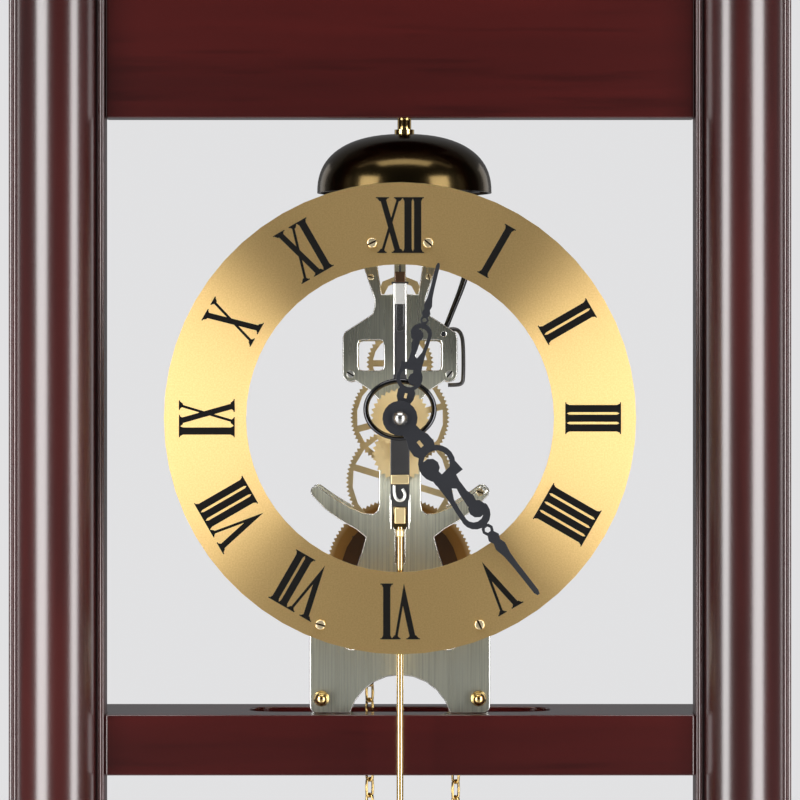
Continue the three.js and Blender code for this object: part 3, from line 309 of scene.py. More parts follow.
def makeBrushGroup():  # fine stretched scratches and slow tarnish
    group, enter, leave = newGroup(
        "brushedSurface",
        [("Stretch", "NodeSocketVector", (1, 1, 1)), ("Clean", "NodeSocketColor", (0.6, 0.45, 0.2, 1)),
         ("Tarnish", "NodeSocketColor", (0.35, 0.24, 0.1, 1)), ("Rough Low", "NodeSocketFloat", 0.2),
         ("Rough High", "NodeSocketFloat", 0.35), ("Line Depth", "NodeSocketFloat", 0.0)],
        [("Color", "NodeSocketColor"), ("Roughness", "NodeSocketFloat"), ("Scratches", "NodeSocketFloat")])
    nodes, links = group.nodes, group.links
    lines = addNoise(nodes, links, stretchedPlace(nodes, links, enter.outputs["Stretch"]), brushSet["lines"])
    cloud = addNoise(nodes, links, objectPlace(nodes), brushSet["cloud"])
    tone = mixColour(nodes)
    links.new(remap(nodes, links, cloud, brushSet["cloudReach"]), tone.inputs["Factor"])
    links.new(enter.outputs["Clean"], tone.inputs["A"])
    links.new(enter.outputs["Tarnish"], tone.inputs["B"])
    rough = addNode(nodes, "MapRange")
    links.new(lines, rough.inputs["Value"])
    links.new(enter.outputs["Rough Low"], rough.inputs["To Min"])
    links.new(enter.outputs["Rough High"], rough.inputs["To Max"])
    shade = remap(nodes, links, lines, brushSet["lineReach"])
    depth = combineValues(nodes, links, "MULTIPLY", shade, enter.outputs["Line Depth"])
    lined = mixColour(nodes, {"B": brushSet["lineTone"]})
    links.new(depth, lined.inputs["Factor"])
    links.new(tone.outputs["Result"], lined.inputs["A"])
    links.new(lined.outputs["Result"], leave.inputs["Color"])
    links.new(rough.outputs["Result"], leave.inputs["Roughness"])
    links.new(lines, leave.inputs["Scratches"])
    return group


grainGroup = makeGrainGroup()
brushGroup = makeBrushGroup()
bumpDepth = 0.0001


def startMaterial(name):
    material = bpy.data.materials.new(name)
    material.use_nodes = True
    return material, material.node_tree.nodes, material.node_tree.links, material.node_tree.nodes["Principled BSDF"]


def addBump(nodes, links, height, shader, strength):
    bump = addNode(nodes, "Bump", {"Strength": strength, "Distance": bumpDepth})
    links.new(height, bump.inputs["Height"])
    links.new(bump.outputs["Normal"], shader.inputs["Normal"])


woodSet = {"roughness": (0.3, 0.42), "specular": 0.05, "coat": 1.0, "coatIor": 1.8, "bump": 0.06}
# the upright copy is a painted-shade copy of the level one: the same wood made darker; its grain also runs upright
woodTones = {
    "mahogany_upright_shaded": {"along": (1, 1, 0.06), "dark": (0.013, 0.0014, 0.0012, 1), "red": (0.05, 0.0042, 0.0032, 1),
                         "coatRoughness": 0.25},
    "mahogany_level": {"along": (0.06, 1, 1), "dark": (0.0185, 0.0024, 0.0022, 1), "red": (0.055, 0.0045, 0.0038, 1),
                       "coatRoughness": 0.15},
}


def makeWood(name):
    tone = woodTones[name]
    material, nodes, links, shader = startMaterial(name)
    grain = addNode(nodes, "Group", node_tree=grainGroup)
    grain.inputs["Along"].default_value = tone["along"]
    grain.inputs["Dark"].default_value = tone["dark"]
    grain.inputs["Red"].default_value = tone["red"]
    links.new(grain.outputs["Color"], shader.inputs["Base Color"])
    rough = remap(nodes, links, grain.outputs["Sheen"], (0.0, 1.0), woodSet["roughness"])
    links.new(rough, shader.inputs["Roughness"])
    shader.inputs["Specular IOR Level"].default_value = woodSet["specular"]
    shader.inputs["Coat Weight"].default_value = woodSet["coat"]
    shader.inputs["Coat IOR"].default_value = woodSet["coatIor"]
    shader.inputs["Coat Roughness"].default_value = tone["coatRoughness"]
    addBump(nodes, links, grain.outputs["Pores"], shader, woodSet["bump"])
    return material


def addPaintedReflectionRim(nodes, links, tone, rim):  # painted reflection: a wheel's disc stays dark brown and turns pale brass out at its teeth
    far = distanceFrom(nodes, links, rim["arbor"])
    mixed = mixColour(nodes, {"B": rim["colour"]})
    links.new(remap(nodes, links, far, rim["reach"]), mixed.inputs["Factor"])
    links.new(tone, mixed.inputs["A"])
    return mixed.outputs["Result"]


def addSheen(nodes, links, rough, steps):  # rougher metal catches more of the softboxes
    parts = nodes.new("ShaderNodeSeparateXYZ")
    links.new(objectPlace(nodes), parts.inputs["Vector"])
    for step in steps:
        factor = remap(nodes, links, parts.outputs["Z"], step["heights"], (1.0, step["factor"]))
        rough = combineValues(nodes, links, "MULTIPLY", rough, factor)
    return rough


def addPaintedLightFaces(nodes, links, tone, rough, paintedLight):  # a painted highlight on polished plate chamfers, painted shade in a screw's slot
    mark = addNode(nodes, "Attribute", attribute_name=faceMark)
    mixed = mixColour(nodes, {"B": paintedLight["colour"]})
    links.new(mark.outputs["Fac"], mixed.inputs["Factor"])
    links.new(tone, mixed.inputs["A"])
    polish = addNode(nodes, "MapRange", {"To Max": paintedLight["rough"]})
    links.new(mark.outputs["Fac"], polish.inputs["Value"])
    links.new(rough, polish.inputs["To Min"])
    return mixed.outputs["Result"], polish.outputs["Result"]


def makeMetal(name, values):
    material, nodes, links, shader = startMaterial(name)
    brush = addNode(nodes, "Group", node_tree=brushGroup)
    brush.inputs["Stretch"].default_value = values.get("stretch", (1, 1, 1))
    brush.inputs["Clean"].default_value = values["clean"]
    brush.inputs["Tarnish"].default_value = values["tarnish"]
    brush.inputs["Rough Low"].default_value = values["rough"][0]
    brush.inputs["Rough High"].default_value = values["rough"][1]
    brush.inputs["Line Depth"].default_value = values.get("lines", 0.0)
    tone, rough = brush.outputs["Color"], brush.outputs["Roughness"]
    if "paintedReflectionRim" in values:
        tone = addPaintedReflectionRim(nodes, links, tone, values["paintedReflectionRim"])
    if "sheen" in values:
        rough = addSheen(nodes, links, rough, values["sheen"])
    if "paintedLight" in values:
        tone, rough = addPaintedLightFaces(nodes, links, tone, rough, values["paintedLight"])
    links.new(tone, shader.inputs["Base Color"])
    links.new(rough, shader.inputs["Roughness"])
    shader.inputs["Metallic"].default_value = values.get("metallic", 1.0)
    addBump(nodes, links, brush.outputs["Scratches"], shader, values["bump"])
    return material


metalSet = {
    "wheelBrass": {"clean": (0.9, 0.72, 0.4, 1), "tarnish": (0.82, 0.62, 0.31, 1), "rough": (0.42, 0.5),
                   "bump": 0.012},
    # the screws' slots get painted shade: a dark colour on the faces inside them
    "screwBrass": {"clean": (0.95, 0.8, 0.52, 1), "tarnish": (0.85, 0.68, 0.4, 1), "rough": (0.3, 0.4),
                   "bump": 0.012, "paintedLight": {"colour": (0.05, 0.03, 0.015, 1), "rough": 0.6}},
    "screwSteel": {"clean": (0.72, 0.72, 0.68, 1), "tarnish": (0.6, 0.6, 0.56, 1), "rough": (0.3, 0.4),
                   "bump": 0.012, "paintedLight": {"colour": (0.03, 0.03, 0.028, 1), "rough": 0.6}},
    # the great wheel's dark brown disc is a painted reflection; it turns pale brass at the teeth
    "greatBrass": {"clean": (0.5, 0.27, 0.08, 1), "tarnish": (0.36, 0.17, 0.05, 1), "rough": (0.34, 0.42),
                   "bump": 0.012,
                   "paintedReflectionRim": {"arbor": (0, 0, 1.489), "reach": (0.031, 0.0345), "colour": (0.92, 0.73, 0.4, 1)}},
    "polishedBrass": {"clean": (0.72, 0.52, 0.22, 1), "tarnish": (0.6, 0.4, 0.14, 1), "rough": (0.1, 0.17),
                      "bump": 0.01},
    "bellBrass": {"stretch": (1, 1, 0.05), "clean": (0.075, 0.052, 0.021, 1), "tarnish": (0.052, 0.034, 0.013, 1),
                  "rough": (0.14, 0.22), "bump": 0.03},
    "brushedNickel": {"stretch": (1, 1, 0.02), "clean": (0.82, 0.83, 0.69, 1), "tarnish": (0.68, 0.69, 0.56, 1),
                      "rough": (0.26, 0.42), "bump": 0.12, "lines": 0.3,
                      "sheen": [{"heights": (1.465, 1.515), "factor": 1.2}, {"heights": (1.515, 1.528), "factor": 1.25},
                                {"heights": (1.55, 1.59), "factor": 0.55}],
                      # the chamfers are polished and carry a painted highlight: a whiter, brighter colour than the
                      # plate
                      "paintedLight": {"colour": (0.92, 0.92, 0.88, 1), "rough": 0.18}},
    "polishedSteel": {"clean": (0.66, 0.66, 0.64, 1), "tarnish": (0.55, 0.55, 0.54, 1), "rough": (0.12, 0.2),
                      "bump": 0.01},
    "satinSteel": {"clean": (0.85, 0.84, 0.8, 1), "tarnish": (0.76, 0.75, 0.71, 1), "rough": (0.42, 0.5),
                   "bump": 0.01},
    "ringSteel": {"clean": (0.07, 0.07, 0.075, 1), "tarnish": (0.045, 0.044, 0.046, 1), "rough": (0.14, 0.2),
                  "bump": 0.01},
    "nutSteel": {"clean": (0.42, 0.41, 0.39, 1), "tarnish": (0.33, 0.32, 0.31, 1), "rough": (0.22, 0.3),
                 "bump": 0.01},
    "darkSteel": {"clean": (0.13, 0.128, 0.13, 1), "tarnish": (0.09, 0.086, 0.084, 1), "rough": (0.3, 0.38),
                  "bump": 0.01, "metallic": 0.85},
    "blackSteel": {"clean": (0.016, 0.017, 0.021, 1), "tarnish": (0.024, 0.025, 0.03, 1), "rough": (0.36, 0.46),
                   "bump": 0.02, "metallic": 0.35},
    "bronzedSteel": {"clean": (0.12, 0.065, 0.035, 1), "tarnish": (0.06, 0.035, 0.022, 1), "rough": (0.24, 0.36),
                     "bump": 0.02, "metallic": 0.8},
}

woodUprightShaded = makeWood("mahogany_upright_shaded")
woodLevel = makeWood("mahogany_level")
metals = {name: makeMetal(name, values) for name, values in metalSet.items()}


dialSet = {"clean": (0.93, 0.645, 0.275, 1), "tarnish": (0.85, 0.57, 0.225, 1), "rough": (0.335, 0.415),
           "anisotropic": 0.88, "turn": 0.25, "bump": 0.1, "rings": {"Scale": 2600, "Detail": 3},
           "speckle": {"Scale": 1500, "Detail": 2}, "frostReach": (0.36, 0.64)}


def makeDialBrass():  # spun satin brass: fine rings about the hands' arbor, with a frosted speckle
    material, nodes, links, shader = startMaterial("dial_brass")
    far = distanceFrom(nodes, links, (0, 0, handArborZ))
    rings = addNoise(nodes, links, far, dialSet["rings"], "W", noise_dimensions="1D")
    speckle = addNoise(nodes, links, objectPlace(nodes), dialSet["speckle"])
    tone = mixColour(nodes, {"A": dialSet["clean"], "B": dialSet["tarnish"]})
    links.new(remap(nodes, links, speckle, dialSet["frostReach"]), tone.inputs["Factor"])
    links.new(tone.outputs["Result"], shader.inputs["Base Color"])
    links.new(remap(nodes, links, rings, (0.0, 1.0), dialSet["rough"]), shader.inputs["Roughness"])
    tangent = addNode(nodes, "Tangent", direction_type="RADIAL", axis="Y")
    links.new(tangent.outputs["Tangent"], shader.inputs["Tangent"])
    shader.inputs["Metallic"].default_value = 1
    shader.inputs["Anisotropic"].default_value = dialSet["anisotropic"]
    shader.inputs["Anisotropic Rotation"].default_value = dialSet["turn"]
    addBump(nodes, links, combineValues(nodes, links, "ADD", rings, speckle), shader, dialSet["bump"])
    return material


enamelSet = {"speck": {"Scale": 400}, "dark": (0.002, 0.0018, 0.0016, 1), "pale": (0.005, 0.0045, 0.004, 1),
             "rough": (0.65, 0.8), "specular": 0.08}


def makeEnamel():  # dial numerals: printed black with a faint uneven gloss
    material, nodes, links, shader = startMaterial("numeral_black")
    speck = addNoise(nodes, links, objectPlace(nodes), enamelSet["speck"])
    tone = mixColour(nodes, {"A": enamelSet["dark"], "B": enamelSet["pale"]})
    links.new(speck, tone.inputs["Factor"])
    links.new(tone.outputs["Result"], shader.inputs["Base Color"])
    links.new(remap(nodes, links, speck, (0.0, 1.0), enamelSet["rough"]), shader.inputs["Roughness"])
    shader.inputs["Specular IOR Level"].default_value = enamelSet["specular"]
    return material


dialBrass = makeDialBrass()
numeralBlack = makeEnamel()
print("materials made")


# the wooden frame and the carried-over solids

uprightWood = ["left_post", "right_post", "left_column", "right_column"]
levelWood = ["base_plinth", "base_moulding", "base_deck", "seat_rail", "top_rail", "cornice", "top_cap"]
nodeMetals = {
    "brushedNickel": ["front_plate", "back_plate", "suspension_cock", "bell_bracket"],
    "wheelBrass": ["second_wheel", "centre_wheel", "third_wheel", "escape_wheel", "anchor", "minute_wheel",
                   "hour_wheel"],
    "greatBrass": ["great_wheel"],
    "polishedBrass": ["lower_pillar_left", "lower_pillar_right", "upper_pillar_left", "upper_pillar_right",
                      "acorn_nut_left", "acorn_nut_right", "dial_post_upper_left", "dial_post_upper_right",
                      "dial_post_lower_left", "dial_post_lower_right", "pendulum_rod", "pendulum_bob",
                      "rating_nut", "bell_post", "bell_nut", "chain_over_sprocket", "weight_chain",
                      "ring_chain", "weight_hook", "weight_top_cap", "weight_tube", "weight_bottom_cap",
                      "pull_ring"],
    "bellBrass": ["bell"],
    "polishedSteel": ["crutch", "suspension_spring", "cannon_pinion", "minute_stud", "click", "chain_guide_pin"],
    "nutSteel": ["hand_nut"],
    "darkSteel": ["pendulum_leader"],
    "blackSteel": ["hour_hand", "minute_hand", "hammer"],
    "bronzedSteel": ["chain_sprocket"],
}
finishOf = {node: metals[name] for name, nodes in nodeMetals.items() for node in nodes}
finishOf.update({node: woodUprightShaded for node in uprightWood})
finishOf.update({node: woodLevel for node in levelWood})
finishOf["dial_ring"] = dialBrass
for node, piece in frame["nodes"].items():
    setMaterial(piece, finishOf[node])

copySet = {"weld": 0.00001, "flat": 0.5, "bevelAngle": 35, "bevelSteps": 2, "softAngle": 80, "chamfer": (0.15, 0.985)}
dressSet = [  # solids that share a smoothing angle, or a bevel in metres
    {"angle": 40, "nodes": [
        "left_column", "right_column", "bell_post", "bell_nut", "pendulum_rod", "rating_nut", "lower_pillar_left",
        "lower_pillar_right", "upper_pillar_left", "upper_pillar_right", "dial_ring", "dial_post_upper_left",
        "dial_post_upper_right", "dial_post_lower_left", "dial_post_lower_right", "great_wheel", "second_wheel",
        "centre_wheel", "third_wheel", "escape_wheel", "minute_wheel", "hour_wheel", "cannon_pinion",
        "chain_sprocket", "chain_guide_pin", "anchor"]},
    {"angle": 50, "nodes": ["acorn_nut_left", "acorn_nut_right"]},
    {"angle": 60, "nodes": ["pull_ring", "weight_hook"]},
    {"angle": 50, "nodes": ["hand_nut", "hammer", "crutch"]},
    {"angle": 40, "nodes": ["left_post", "right_post"]},
    {"angle": 30, "nodes": ["cornice", "base_moulding"]},
    {"bevel": 0.00045, "nodes": ["front_plate", "back_plate"]},
    {"bevel": 0.00035, "nodes": ["pendulum_leader"]},
    {"bevel": 0.0001, "nodes": ["hour_hand", "minute_hand"]},
    {"bevel": 0.0006, "nodes": ["seat_rail", "top_rail"]},
    {"bevel": 0.0003, "nodes": ["suspension_cock", "bell_bracket"]},
]


def isChamfer(face):  # it slants between a plate's front and its rim
    least, most = copySet["chamfer"]
    return least < abs(face.normal.y) < most


def dressCopy(node, finish):  # a smooth-shaded copy that stands for its solid
    source = frame["nodes"][node]
    piece = bpy.data.objects.new(node + "_dressed", source.data.copy())
    scene.collection.objects.link(piece)
    makeActive(piece)
    bpy.ops.object.mode_set(mode="EDIT")
    bpy.ops.mesh.select_all(action="SELECT")
    bpy.ops.mesh.remove_doubles(threshold=copySet["weld"])
    if node != "hour_hand":  # merging its flat faces would leave a doubled edge
        bpy.ops.mesh.dissolve_limited(angle_limit=math.radians(copySet["flat"]))
    bpy.ops.mesh.customdata_custom_splitnormals_clear()
    bpy.ops.object.mode_set(mode="OBJECT")
    if "bevel" in finish:  # without a clamp, as one short edge would hold back every other
        softenEdges(piece, finish["bevel"], copySet["bevelSteps"], copySet["bevelAngle"], clamp=False)
        smoothEdges(piece, copySet["softAngle"])
        evenNormals(piece)
        markFaces(piece, isChamfer)
    else:
        smoothEdges(piece, finish["angle"])
    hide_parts(node)
    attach(piece, source["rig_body"])
    setMaterial(piece, finishOf[node])


for finish in dressSet:
    for node in finish["nodes"]:
        dressCopy(node, finish)
print("solids dressed", sum(len(finish["nodes"]) for finish in dressSet))


# bell, bob and weight, spun finer than their solids

spinSet = {"turns": 96, "weld": 0.000002, "smooth": 38}
bellSet = {"x": 2.0, "rim": 103.0, "radius": 40.0, "height": 27.0, "wall": 1.6, "hole": 2.2, "steps": 22,
           "squareness": 2.4}
bobSet = {"y": -56.0, "z": -934.0, "radius": 70.0, "edge": 4.0, "thick": 24.0, "domeShare": 0.9, "bead": 2.7,
          "steps": 16, "shoulder": [(0.5, 2.2), (1.2, 0.2)], "beadArc": 130, "beadSteps": 14}
weightSet = {"x": 25.5, "radius": 24.0, "cap": 25.0, "round": 3.0, "roundSteps": 6, "lip": 1.2, "step": 0.6,
             "bevel": 0.5}


def spinProfile(name, profile, centre, axis):  # profile in (radius, along the axis) pairs, in mm
    along = Vector(axis)
    points = [Vector(centre) + Vector((radius, 0, 0)) + along * far for radius, far in profile]
    mesh = bpy.data.meshes.new(name)
    mesh.from_pydata([point * mm for point in points], [(i, i + 1) for i in range(len(points) - 1)], [])
    piece = bpy.data.objects.new(name, mesh)
    scene.collection.objects.link(piece)
    makeActive(piece)
    bpy.ops.object.mode_set(mode="EDIT")
    bpy.ops.mesh.select_all(action="SELECT")
    bpy.ops.mesh.spin(steps=spinSet["turns"], angle=2 * math.pi, center=Vector(centre) * mm, axis=axis)
    bpy.ops.mesh.select_all(action="SELECT")
    bpy.ops.mesh.remove_doubles(threshold=spinSet["weld"])
    bpy.ops.mesh.normals_make_consistent(inside=False)
    bpy.ops.object.mode_set(mode="OBJECT")
    smoothEdges(piece, spinSet["smooth"])
    return piece


def roundCorner(centre, radius, start, stop, steps):  # points on an arc, angles in degrees
    angles = [math.radians(start + (stop - start) * i / steps) for i in range(steps + 1)]
    return [(centre[0] + radius * math.cos(angle), centre[1] + radius * math.sin(angle)) for angle in angles]


def dome(radius, height):  # fuller at the shoulder than an ellipse
    power = 2 / bellSet["squareness"]
    last = math.acos((bellSet["hole"] / radius) ** (1 / power))
    angles = [last * i / bellSet["steps"] for i in range(bellSet["steps"] + 1)]
    return [(radius * math.cos(angle) ** power, bellSet["rim"] + height * math.sin(angle) ** power)
            for angle in angles]


def bellProfile():
    outer = dome(bellSet["radius"], bellSet["height"])
    inner = dome(bellSet["radius"] - bellSet["wall"], bellSet["height"] - bellSet["wall"])
    return outer + inner[::-1] + outer[:1]


def bobProfile():
    radius, half = bobSet["radius"], bobSet["edge"] / 2
    rise = bobSet["thick"] / 2 - half
    front = []
    for step in range(bobSet["steps"] + 1):
        reach = bobSet["domeShare"] * step / bobSet["steps"]
        front.append((radius * reach, -half - rise * math.sqrt(1 - reach * reach)))
    front += [(radius * bobSet["domeShare"] + out, -half - proud) for out, proud in bobSet["shoulder"]]
    arc = bobSet["beadArc"]
    bead = roundCorner((radius - bobSet["bead"], 0), bobSet["bead"], -arc, arc, bobSet["beadSteps"])
    return front + bead + [(reach, -far) for reach, far in front[::-1]]


def capProfile(height):  # from the rounded end, which has a small step in it, to the plain one
    cap, edge, step, bevel = weightSet["cap"], weightSet["round"], weightSet["step"], weightSet["bevel"]
    flat = cap - edge - weightSet["lip"]
    return ([(0, height), (flat, height), (flat, height - step), (cap - edge, height - step)]
            + roundCorner((cap - edge, height - step - edge), edge, 90, 0, weightSet["roundSteps"])
            + [(cap, bevel), (cap - bevel, 0), (0, 0)])


def makeSpunPieces():
    arbor = handArborZ / mm
    upward = (0, 0, 1)
    weightAt = (weightSet["x"], 0, 0)
    tubeTop, tubeBottom = nodeEnds("weight_tube")
    tube = [(0, tubeTop), (weightSet["radius"], tubeTop), (weightSet["radius"], tubeBottom), (0, tubeBottom)]
    capTop, capJoint = nodeEnds("weight_top_cap")
    topCap = [(reach, capJoint + far) for reach, far in capProfile(capTop - capJoint)]
    footJoint, foot = nodeEnds("weight_bottom_cap")
    bottomCap = [(reach, footJoint - far) for reach, far in capProfile(footJoint - foot)[::-1]]
    spun = {
        "bell": (bellProfile(), (bellSet["x"], 0, arbor), upward),
        "pendulum_bob": (bobProfile(), (0, bobSet["y"], arbor + bobSet["z"]), (0, 1, 0)),
        "weight_tube": (tube, weightAt, upward),
        "weight_top_cap": (topCap, weightAt, upward),
        "weight_bottom_cap": (bottomCap, weightAt, upward),
    }
    for node, (profile, centre, axis) in spun.items():
        piece = spinProfile(node + "_spun", profile, centre, axis)
        setMaterial(piece, finishOf[node])
        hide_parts(node)
        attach(piece, frame["nodes"][node]["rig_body"])


makeSpunPieces()
print("bell, bob and weight spun")


# Roman numerals, printed on the dial

numeralSet = {"inner": 73.5, "outer": 98.3, "upright": 3.2, "slant": 2.6, "thin": 1.2, "serif": 0.5, "bracket": 1.3,
              "bracketShare": 0.8, "spare": 1.6, "front": -64.0, "proud": 0.16}
glyphSet = {"I": {"advance": 4.3, "serif": 5.6},
            "V": {"advance": 11.8, "left": -3.7, "right": 4.0, "tip": 0.4, "wide": 6.0, "narrow": 4.2},
            "X": {"advance": 11.4, "slantAt": 3.5, "thinAt": 3.7, "wide": 5.8, "narrow": 4.2}}
hours = ["XII", "I", "II", "III", "IIII", "V", "VI", "VII", "VIII", "IX", "X", "XI"]


def makeStroke(foot, head, width, trims=()):  # a slanted bar, trimmed level at both ends and along other strokes
    bottom, top = numeralSet["inner"], numeralSet["outer"]
    middle = Vector(((foot + head) / 2, 0, (bottom + top) / 2))
    lean = math.atan2(head - foot, top - bottom)
    bar = addBox((width * math.cos(lean), numeralSet["proud"], (top - bottom) * numeralSet["spare"]), (0, 0, 0))
    bar.data.transform(Matrix.Translation(middle) @ Matrix.Rotation(lean, 4, "Y"))
    bpy.ops.object.mode_set(mode="EDIT")
    for point, normal in [((0, 0, top), (0, 0, 1)), ((0, 0, bottom), (0, 0, -1)), *trims]:
        bpy.ops.mesh.select_all(action="SELECT")
        bpy.ops.mesh.bisect(plane_co=point, plane_no=normal, use_fill=True, clear_outer=True)
    bpy.ops.object.mode_set(mode="OBJECT")
    return bar


def makeSerif(centre, width, stroke, end):  # a thin foot with a bracket that narrows to the stroke
    side = 1 if end == "outer" else -1
    slab, bracket = numeralSet["serif"], numeralSet["bracket"]
    foot = addBox((width, numeralSet["proud"], slab), (centre, 0, numeralSet[end] - side * slab / 2))
    height = numeralSet[end] - side * (slab + bracket / 2)
    web = addBox((width * numeralSet["bracketShare"], numeralSet["proud"], bracket), (centre, 0, height))
    for point in web.data.vertices:
        if (point.co.z - height) * side < 0:
            point.co.x = centre + math.copysign(stroke / 2, point.co.x - centre)
    return [foot, web]


def unitePieces(pieces):
    for piece in pieces[1:]:
        combine(pieces[0], piece, "UNION")
    return pieces[0]


def makeGlyph(letter):
    glyph = glyphSet[letter]
    upright, slant, thin = numeralSet["upright"], numeralSet["slant"], numeralSet["thin"]
    bottom, rise = numeralSet["inner"], numeralSet["outer"] - numeralSet["inner"]
    if letter == "I":
        parts = [makeStroke(0, 0, upright), *makeSerif(0, glyph["serif"], upright, "inner"),
                 *makeSerif(0, glyph["serif"], upright, "outer")]
    elif letter == "V":  # both strokes end in one point
        left, right, tip = glyph["left"], glyph["right"], (glyph["tip"], 0, bottom)
        leftSide = (tip, Vector((-rise, 0, left - slant / 2 - tip[0])).normalized())
        rightSide = (tip, Vector((rise, 0, tip[0] - right - thin / 2)).normalized())
        parts = [makeStroke(tip[0] + slant / 2, left, slant, [rightSide]),
                 makeStroke(tip[0] - thin / 2, right, thin, [leftSide]),
                 *makeSerif(left, glyph["wide"], slant, "outer"), *makeSerif(right, glyph["narrow"], thin, "outer")]
    else:
        slantAt, thinAt = glyph["slantAt"], glyph["thinAt"]
        parts = [makeStroke(slantAt, -slantAt, slant), makeStroke(-thinAt, thinAt, thin)]
        for end, side in (("outer", 1), ("inner", -1)):
            parts += makeSerif(-side * slantAt, glyph["wide"], slant, end)
            parts += makeSerif(side * thinAt, glyph["narrow"], thin, end)
    return unitePieces(parts)


def makeNumerals():
    glyphs = {letter: makeGlyph(letter) for letter in glyphSet}
    pieces = []
    for hour, letters in enumerate(hours):
        across = -sum(glyphSet[letter]["advance"] for letter in letters) / 2
        strokes = []
        for letter in letters:
            width = glyphSet[letter]["advance"]
            strokes.append(copyPiece(glyphs[letter], Matrix.Translation((across + width / 2, 0, 0))))
            across += width
        numeral = unitePieces(strokes)  # serifs of neighbours run into one another
        place = Matrix.Translation((0, numeralSet["front"] * mm, handArborZ))
        turn = math.radians(360 / len(hours) * hour)
        numeral.data.transform(place @ Matrix.Rotation(turn, 4, "Y") @ Matrix.Scale(mm, 4))
        pieces.append(numeral)
    for glyph in glyphs.values():
        removePiece(glyph)
    numerals = joinPieces(pieces, "dial_numerals")
    setMaterial(numerals, numeralBlack)
    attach(numerals, "root")


makeNumerals()
print("numerals made")


# slotted screws

screwSet = {"radius": 2.15, "height": 1.1, "sides": 28, "sunk": 0.1, "slot": 0.75, "slotDeep": 0.85, "slotLong": 8,
            "slack": 0.001, "soft": 0.35, "softSteps": 3, "softAngle": 60, "smooth": 35}
screwPlaces = {  # across, up, face, turn and size
    "dial_screw_a": (12.5, 78, -64.0, 40, 1), "dial_screw_b": (-12.5, 78, -64.0, -25, 1),
    "dial_screw_c": (35.4, -91.8, -64.0, 65, 1), "dial_screw_d": (-35.4, -91.8, -64.0, 15, 1),
    "pillar_screw_left": (-22.4, 19.8, -27.0, 30, 0.85), "pillar_screw_right": (22.4, 19.8, -27.0, -50, 0.85),
    "horn_screw_left": (-13.1, 63.8, -27.0, 10, 0.62), "horn_screw_right": (13.1, 63.8, -27.0, 75, 0.62),
    "arm_screw_right": (36.2, -33.6, -27.0, 20, 0.8),
}


def isInSlot(face):  # painted shade: the faces inside the slot, where shade falls, are painted dark
    floor = screwSet["slotDeep"] - screwSet["height"] / 2
    side = screwSet["slot"] / 2
    return abs(face.center.z) < side + screwSet["slack"] and face.center.y < floor + screwSet["slack"]


def makeScrew():
    head = addRod(screwSet["radius"], screwSet["height"], (0, 0, 0), "y", screwSet["sides"])
    softenEdges(head, screwSet["soft"], screwSet["softSteps"], screwSet["softAngle"])
    slotSize = (screwSet["slotLong"], 2 * screwSet["slotDeep"], screwSet["slot"])
    combine(head, addBox(slotSize, (0, -screwSet["height"] / 2, 0)), "DIFFERENCE")
    smoothEdges(head, screwSet["smooth"])
    markFaces(head, isInSlot)
    return head


def placeScrews():
    model = makeScrew()
    for name, (x, z, face, turn, size) in screwPlaces.items():
        proud = (screwSet["height"] / 2 - screwSet["sunk"]) * size
        place = Matrix.Translation((x * mm, (face - proud) * mm, handArborZ + z * mm))
        screw = copyPiece(model, place @ Matrix.Rotation(math.radians(turn), 4, "Y") @ Matrix.Scale(size * mm, 4))
        screw.name = name
        metal, slot = ("Steel", "polished_steel") if name.startswith("pillar") else ("Brass", "polished_brass")
        setMaterial(screw, metals["screw" + metal])
        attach(screw, "root")
    removePiece(model)


placeScrews()
print("screws placed")


# slim beads beside the columns

beadSet = {"radius": 1.2, "inner": 135.5, "outer": 173.2, "front": -37.6, "bottom": 147.1, "top": 1775.4, "sides": 20,
           "smooth": 40}


def makeBeads():
    length = beadSet["top"] - beadSet["bottom"]
    middle = (beadSet["top"] + beadSet["bottom"]) / 2
    for side, sideName in ((-1, "left"), (1, "right")):
        for place in ("inner", "outer"):
            centre = (side * beadSet[place] * mm, beadSet["front"] * mm, middle * mm)
            bead = addRod(beadSet["radius"] * mm, length * mm, centre, "z", beadSet["sides"])
            bead.name = sideName + "_bead_" + place
            smoothEdges(bead, beadSet["smooth"])
            setMaterial(bead, woodUprightShaded)
            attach(bead, "root")


makeBeads()
print("beads made")


# bent wire

wireSet = {"rings": 4, "order": 3, "steps": 6, "smooth": 60}
springSet = {"path": [(19.8, 39.5), (24.5, 41), (28, 38.5), (28.8, 32), (28.8, 18), (28.2, 15.6), (26, 14.9),
                      (21.8, 14.9)], "y": -21, "radius": 0.9}
armSet = {"path": [(21.3, 42), (24.46, 50), (26.9, 56), (29.1, 62), (30.8, 68), (31.97, 74), (32.7, 80), (33.05, 86),
                   (32.93, 92), (32.57, 98)], "y": 0,
          "radius": 1.25, "swells": [1, 1.03, 1.1, 1.18, 1.27, 1.34, 1.36, 1.36, 1.36, 1.36]}


